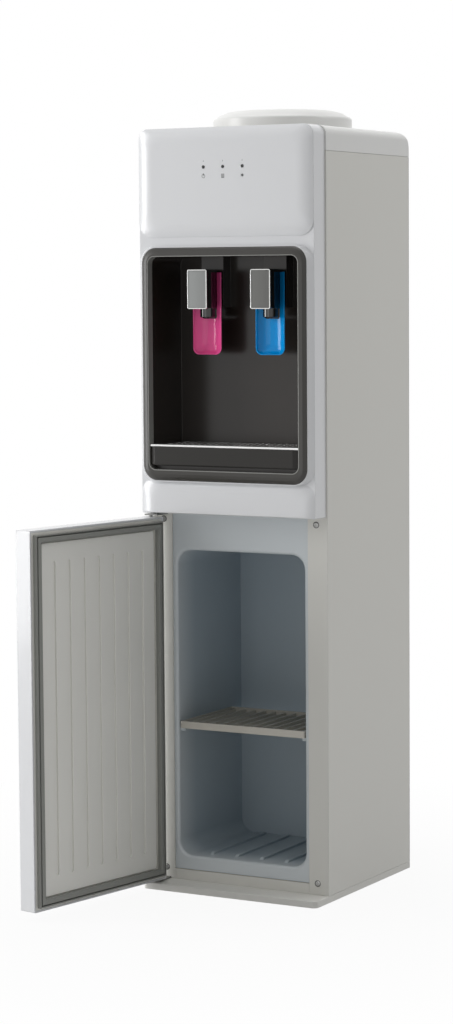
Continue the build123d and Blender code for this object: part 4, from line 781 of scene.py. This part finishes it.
def makeMarks():
    # plain signs under the lamps: power, heating and cooling, with a short tick over each lamp
    values = markValues
    left, middle, right = values["centres"]
    z, radius, stroke = values["iconHeight"], values["iconRadius"], values["stroke"]
    power, heat, flake = values["powerBar"], values["heatBars"], values["flake"]
    bars = [printedBar(x, values["tickHeight"], values["tickLength"], stroke) for x in values["centres"]]
    bars.append(printedRing(left, z, radius, stroke))
    bars.append(printedBar(left, z + power["rise"] * radius, power["length"] * radius,
                           power["width"] * stroke))
    for step in heat["steps"]:
        bars.append(printedBar(middle + step * heat["pitch"] * stroke, z, heat["length"] * radius, stroke))
    bars.append(printedBar(middle, z - radius, heat["base"] * stroke, stroke, math.degrees(quarterTurn)))
    for angle in flake["angles"]:
        bars.append(printedBar(right, z, flake["length"] * radius, stroke, angle))
    bars.append(printedRing(right, z, flake["ring"] * radius, flake["ringWidth"] * stroke))
    marks = joinPieces("panelMarks", bars)
    closeUp(marks)
    marks.data.materials.append(grainedPlastic("markInk"))
    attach(marks, "cabinet")


makeMarks()
print("panel marks made")

springValues = {"stroke": 0.002, "mergeDistance": 0.000002}


def makeSpring(side):
    # a copy of the wound spring with its vertices merged, in place of the CAD spring; the real spring
    # shortens as its plunger is pushed in, but nothing here makes the copy do so
    node = side + "_tap_spring"
    spring = bpy.data.objects.new(side + "ReturnSpring", nodes[node].data.copy())
    bpy.context.collection.objects.link(spring)
    bpy.ops.object.select_all(action="DESELECT")
    spring.select_set(True)
    bpy.context.view_layer.objects.active = spring
    bpy.ops.object.mode_set(mode="EDIT")
    bpy.ops.mesh.select_all(action="SELECT")
    bpy.ops.mesh.remove_doubles(threshold=springValues["mergeDistance"])
    bpy.ops.object.mode_set(mode="OBJECT")
    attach(spring, "cabinet")
    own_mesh(spring)
    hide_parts(node)


makeSpring("hot")
makeSpring("cold")
print("return springs made")

stageValues = {
    "floorSize": 40.0,
    "floorTone": "d2d2d2",
    "white": (1.0, 1.0, 1.0, 1.0),
    "nearGlow": 0.93,
    "farGlow": 1.0,
    "glowFrom": 0.2,
    "glowTo": 0.9,
    "skyTowards": (-0.55, 0.5, 0.67),
    "skyDark": 0.04,
    "skyBright": 0.68,
    "lamps": {
        "keyLamp": {"place": (-2.5, -1.55, 1.1), "aim": (0.0, 0.0, 0.7), "size": (0.9, 2.4), "power": 51.0},
        "backLamp": {"place": (2.0, 1.0, 2.6), "aim": (0.0, 0.1, 0.8), "size": (1.4, 1.4), "power": 13.0},
        "topLamp": {"place": (-0.2, 0.0, 3.2), "aim": (0.0, 0.1, 1.0), "size": (1.8, 1.8), "power": 21.0},
        "lowLamp": {"place": (-0.35, -2.4, 0.45), "aim": (0.0, 0.0, 0.25), "size": (0.9, 0.9), "power": 2.6},
    },
}


def makeFloor():
    # pale paper that glows only for what looks at it
    values = stageValues
    bpy.ops.object.select_all(action="DESELECT")
    bpy.ops.mesh.primitive_plane_add(size=values["floorSize"])
    floor = bpy.context.object
    floor.name = "studioFloor"
    finish = Finish("floorPaper")
    distance = finish.node("ShaderNodeVectorMath", {"operation": "LENGTH"}, {0: finish.place}, output="Value")
    away = finish.node("ShaderNodeMapRange", None,
                       {"Value": distance, "From Min": values["glowFrom"], "From Max": values["glowTo"],
                        "To Min": values["nearGlow"], "To Max": values["farGlow"]})
    paper = finish.node("ShaderNodeBsdfDiffuse", None, {"Color": tone(values["floorTone"])})
    glow = finish.node("ShaderNodeEmission", None, {"Color": values["white"], "Strength": 1.0})
    mixed = finish.node("ShaderNodeMixShader", None, {0: finish.seen() * away, 1: paper, 2: glow})
    finish.node("ShaderNodeOutputMaterial", None, {"Surface": mixed})
    floor.data.materials.append(finish.material)


def makeSky():
    # white to look at; its light on the object grows towards one side
    values = stageValues
    world = bpy.data.worlds.new("studioSky")
    bpy.context.scene.world = world
    world.use_nodes = True
    sky = Graph(world.node_tree)
    direction = sky.node("ShaderNodeTexCoord", output="Generated")
    side = sky.node("ShaderNodeVectorMath", {"operation": "DOT_PRODUCT"},
                    {0: direction, 1: values["skyTowards"]}, output="Value")
    soft = sky.node("ShaderNodeMapRange", None, {"Value": side, "From Min": -1.0, "From Max": 1.0,
                                                "To Min": values["skyDark"], "To Max": values["skyBright"]})
    seen = sky.seen()
    level = seen + (1 - seen) * soft
    light = sky.node("ShaderNodeBackground", None, {"Color": values["white"], "Strength": level})
    sky.node("ShaderNodeOutputWorld", None, {"Surface": light})


def makeLamp(name, values):
    bpy.ops.object.light_add(type="AREA", location=values["place"])
    lamp = bpy.context.object
    lamp.name = name
    lamp.data.shape = "RECTANGLE"
    lamp.data.size, lamp.data.size_y = values["size"]
    lamp.data.energy = values["power"]
    aim = Vector(values["aim"]) - Vector(values["place"])
    lamp.rotation_euler = aim.to_track_quat("-Z", "Y").to_euler()


makeFloor()
makeSky()
for lampName, lampValues in stageValues["lamps"].items():
    makeLamp(lampName, lampValues)
bpy.context.scene.view_settings.view_transform = "Standard"
print("stage lit")
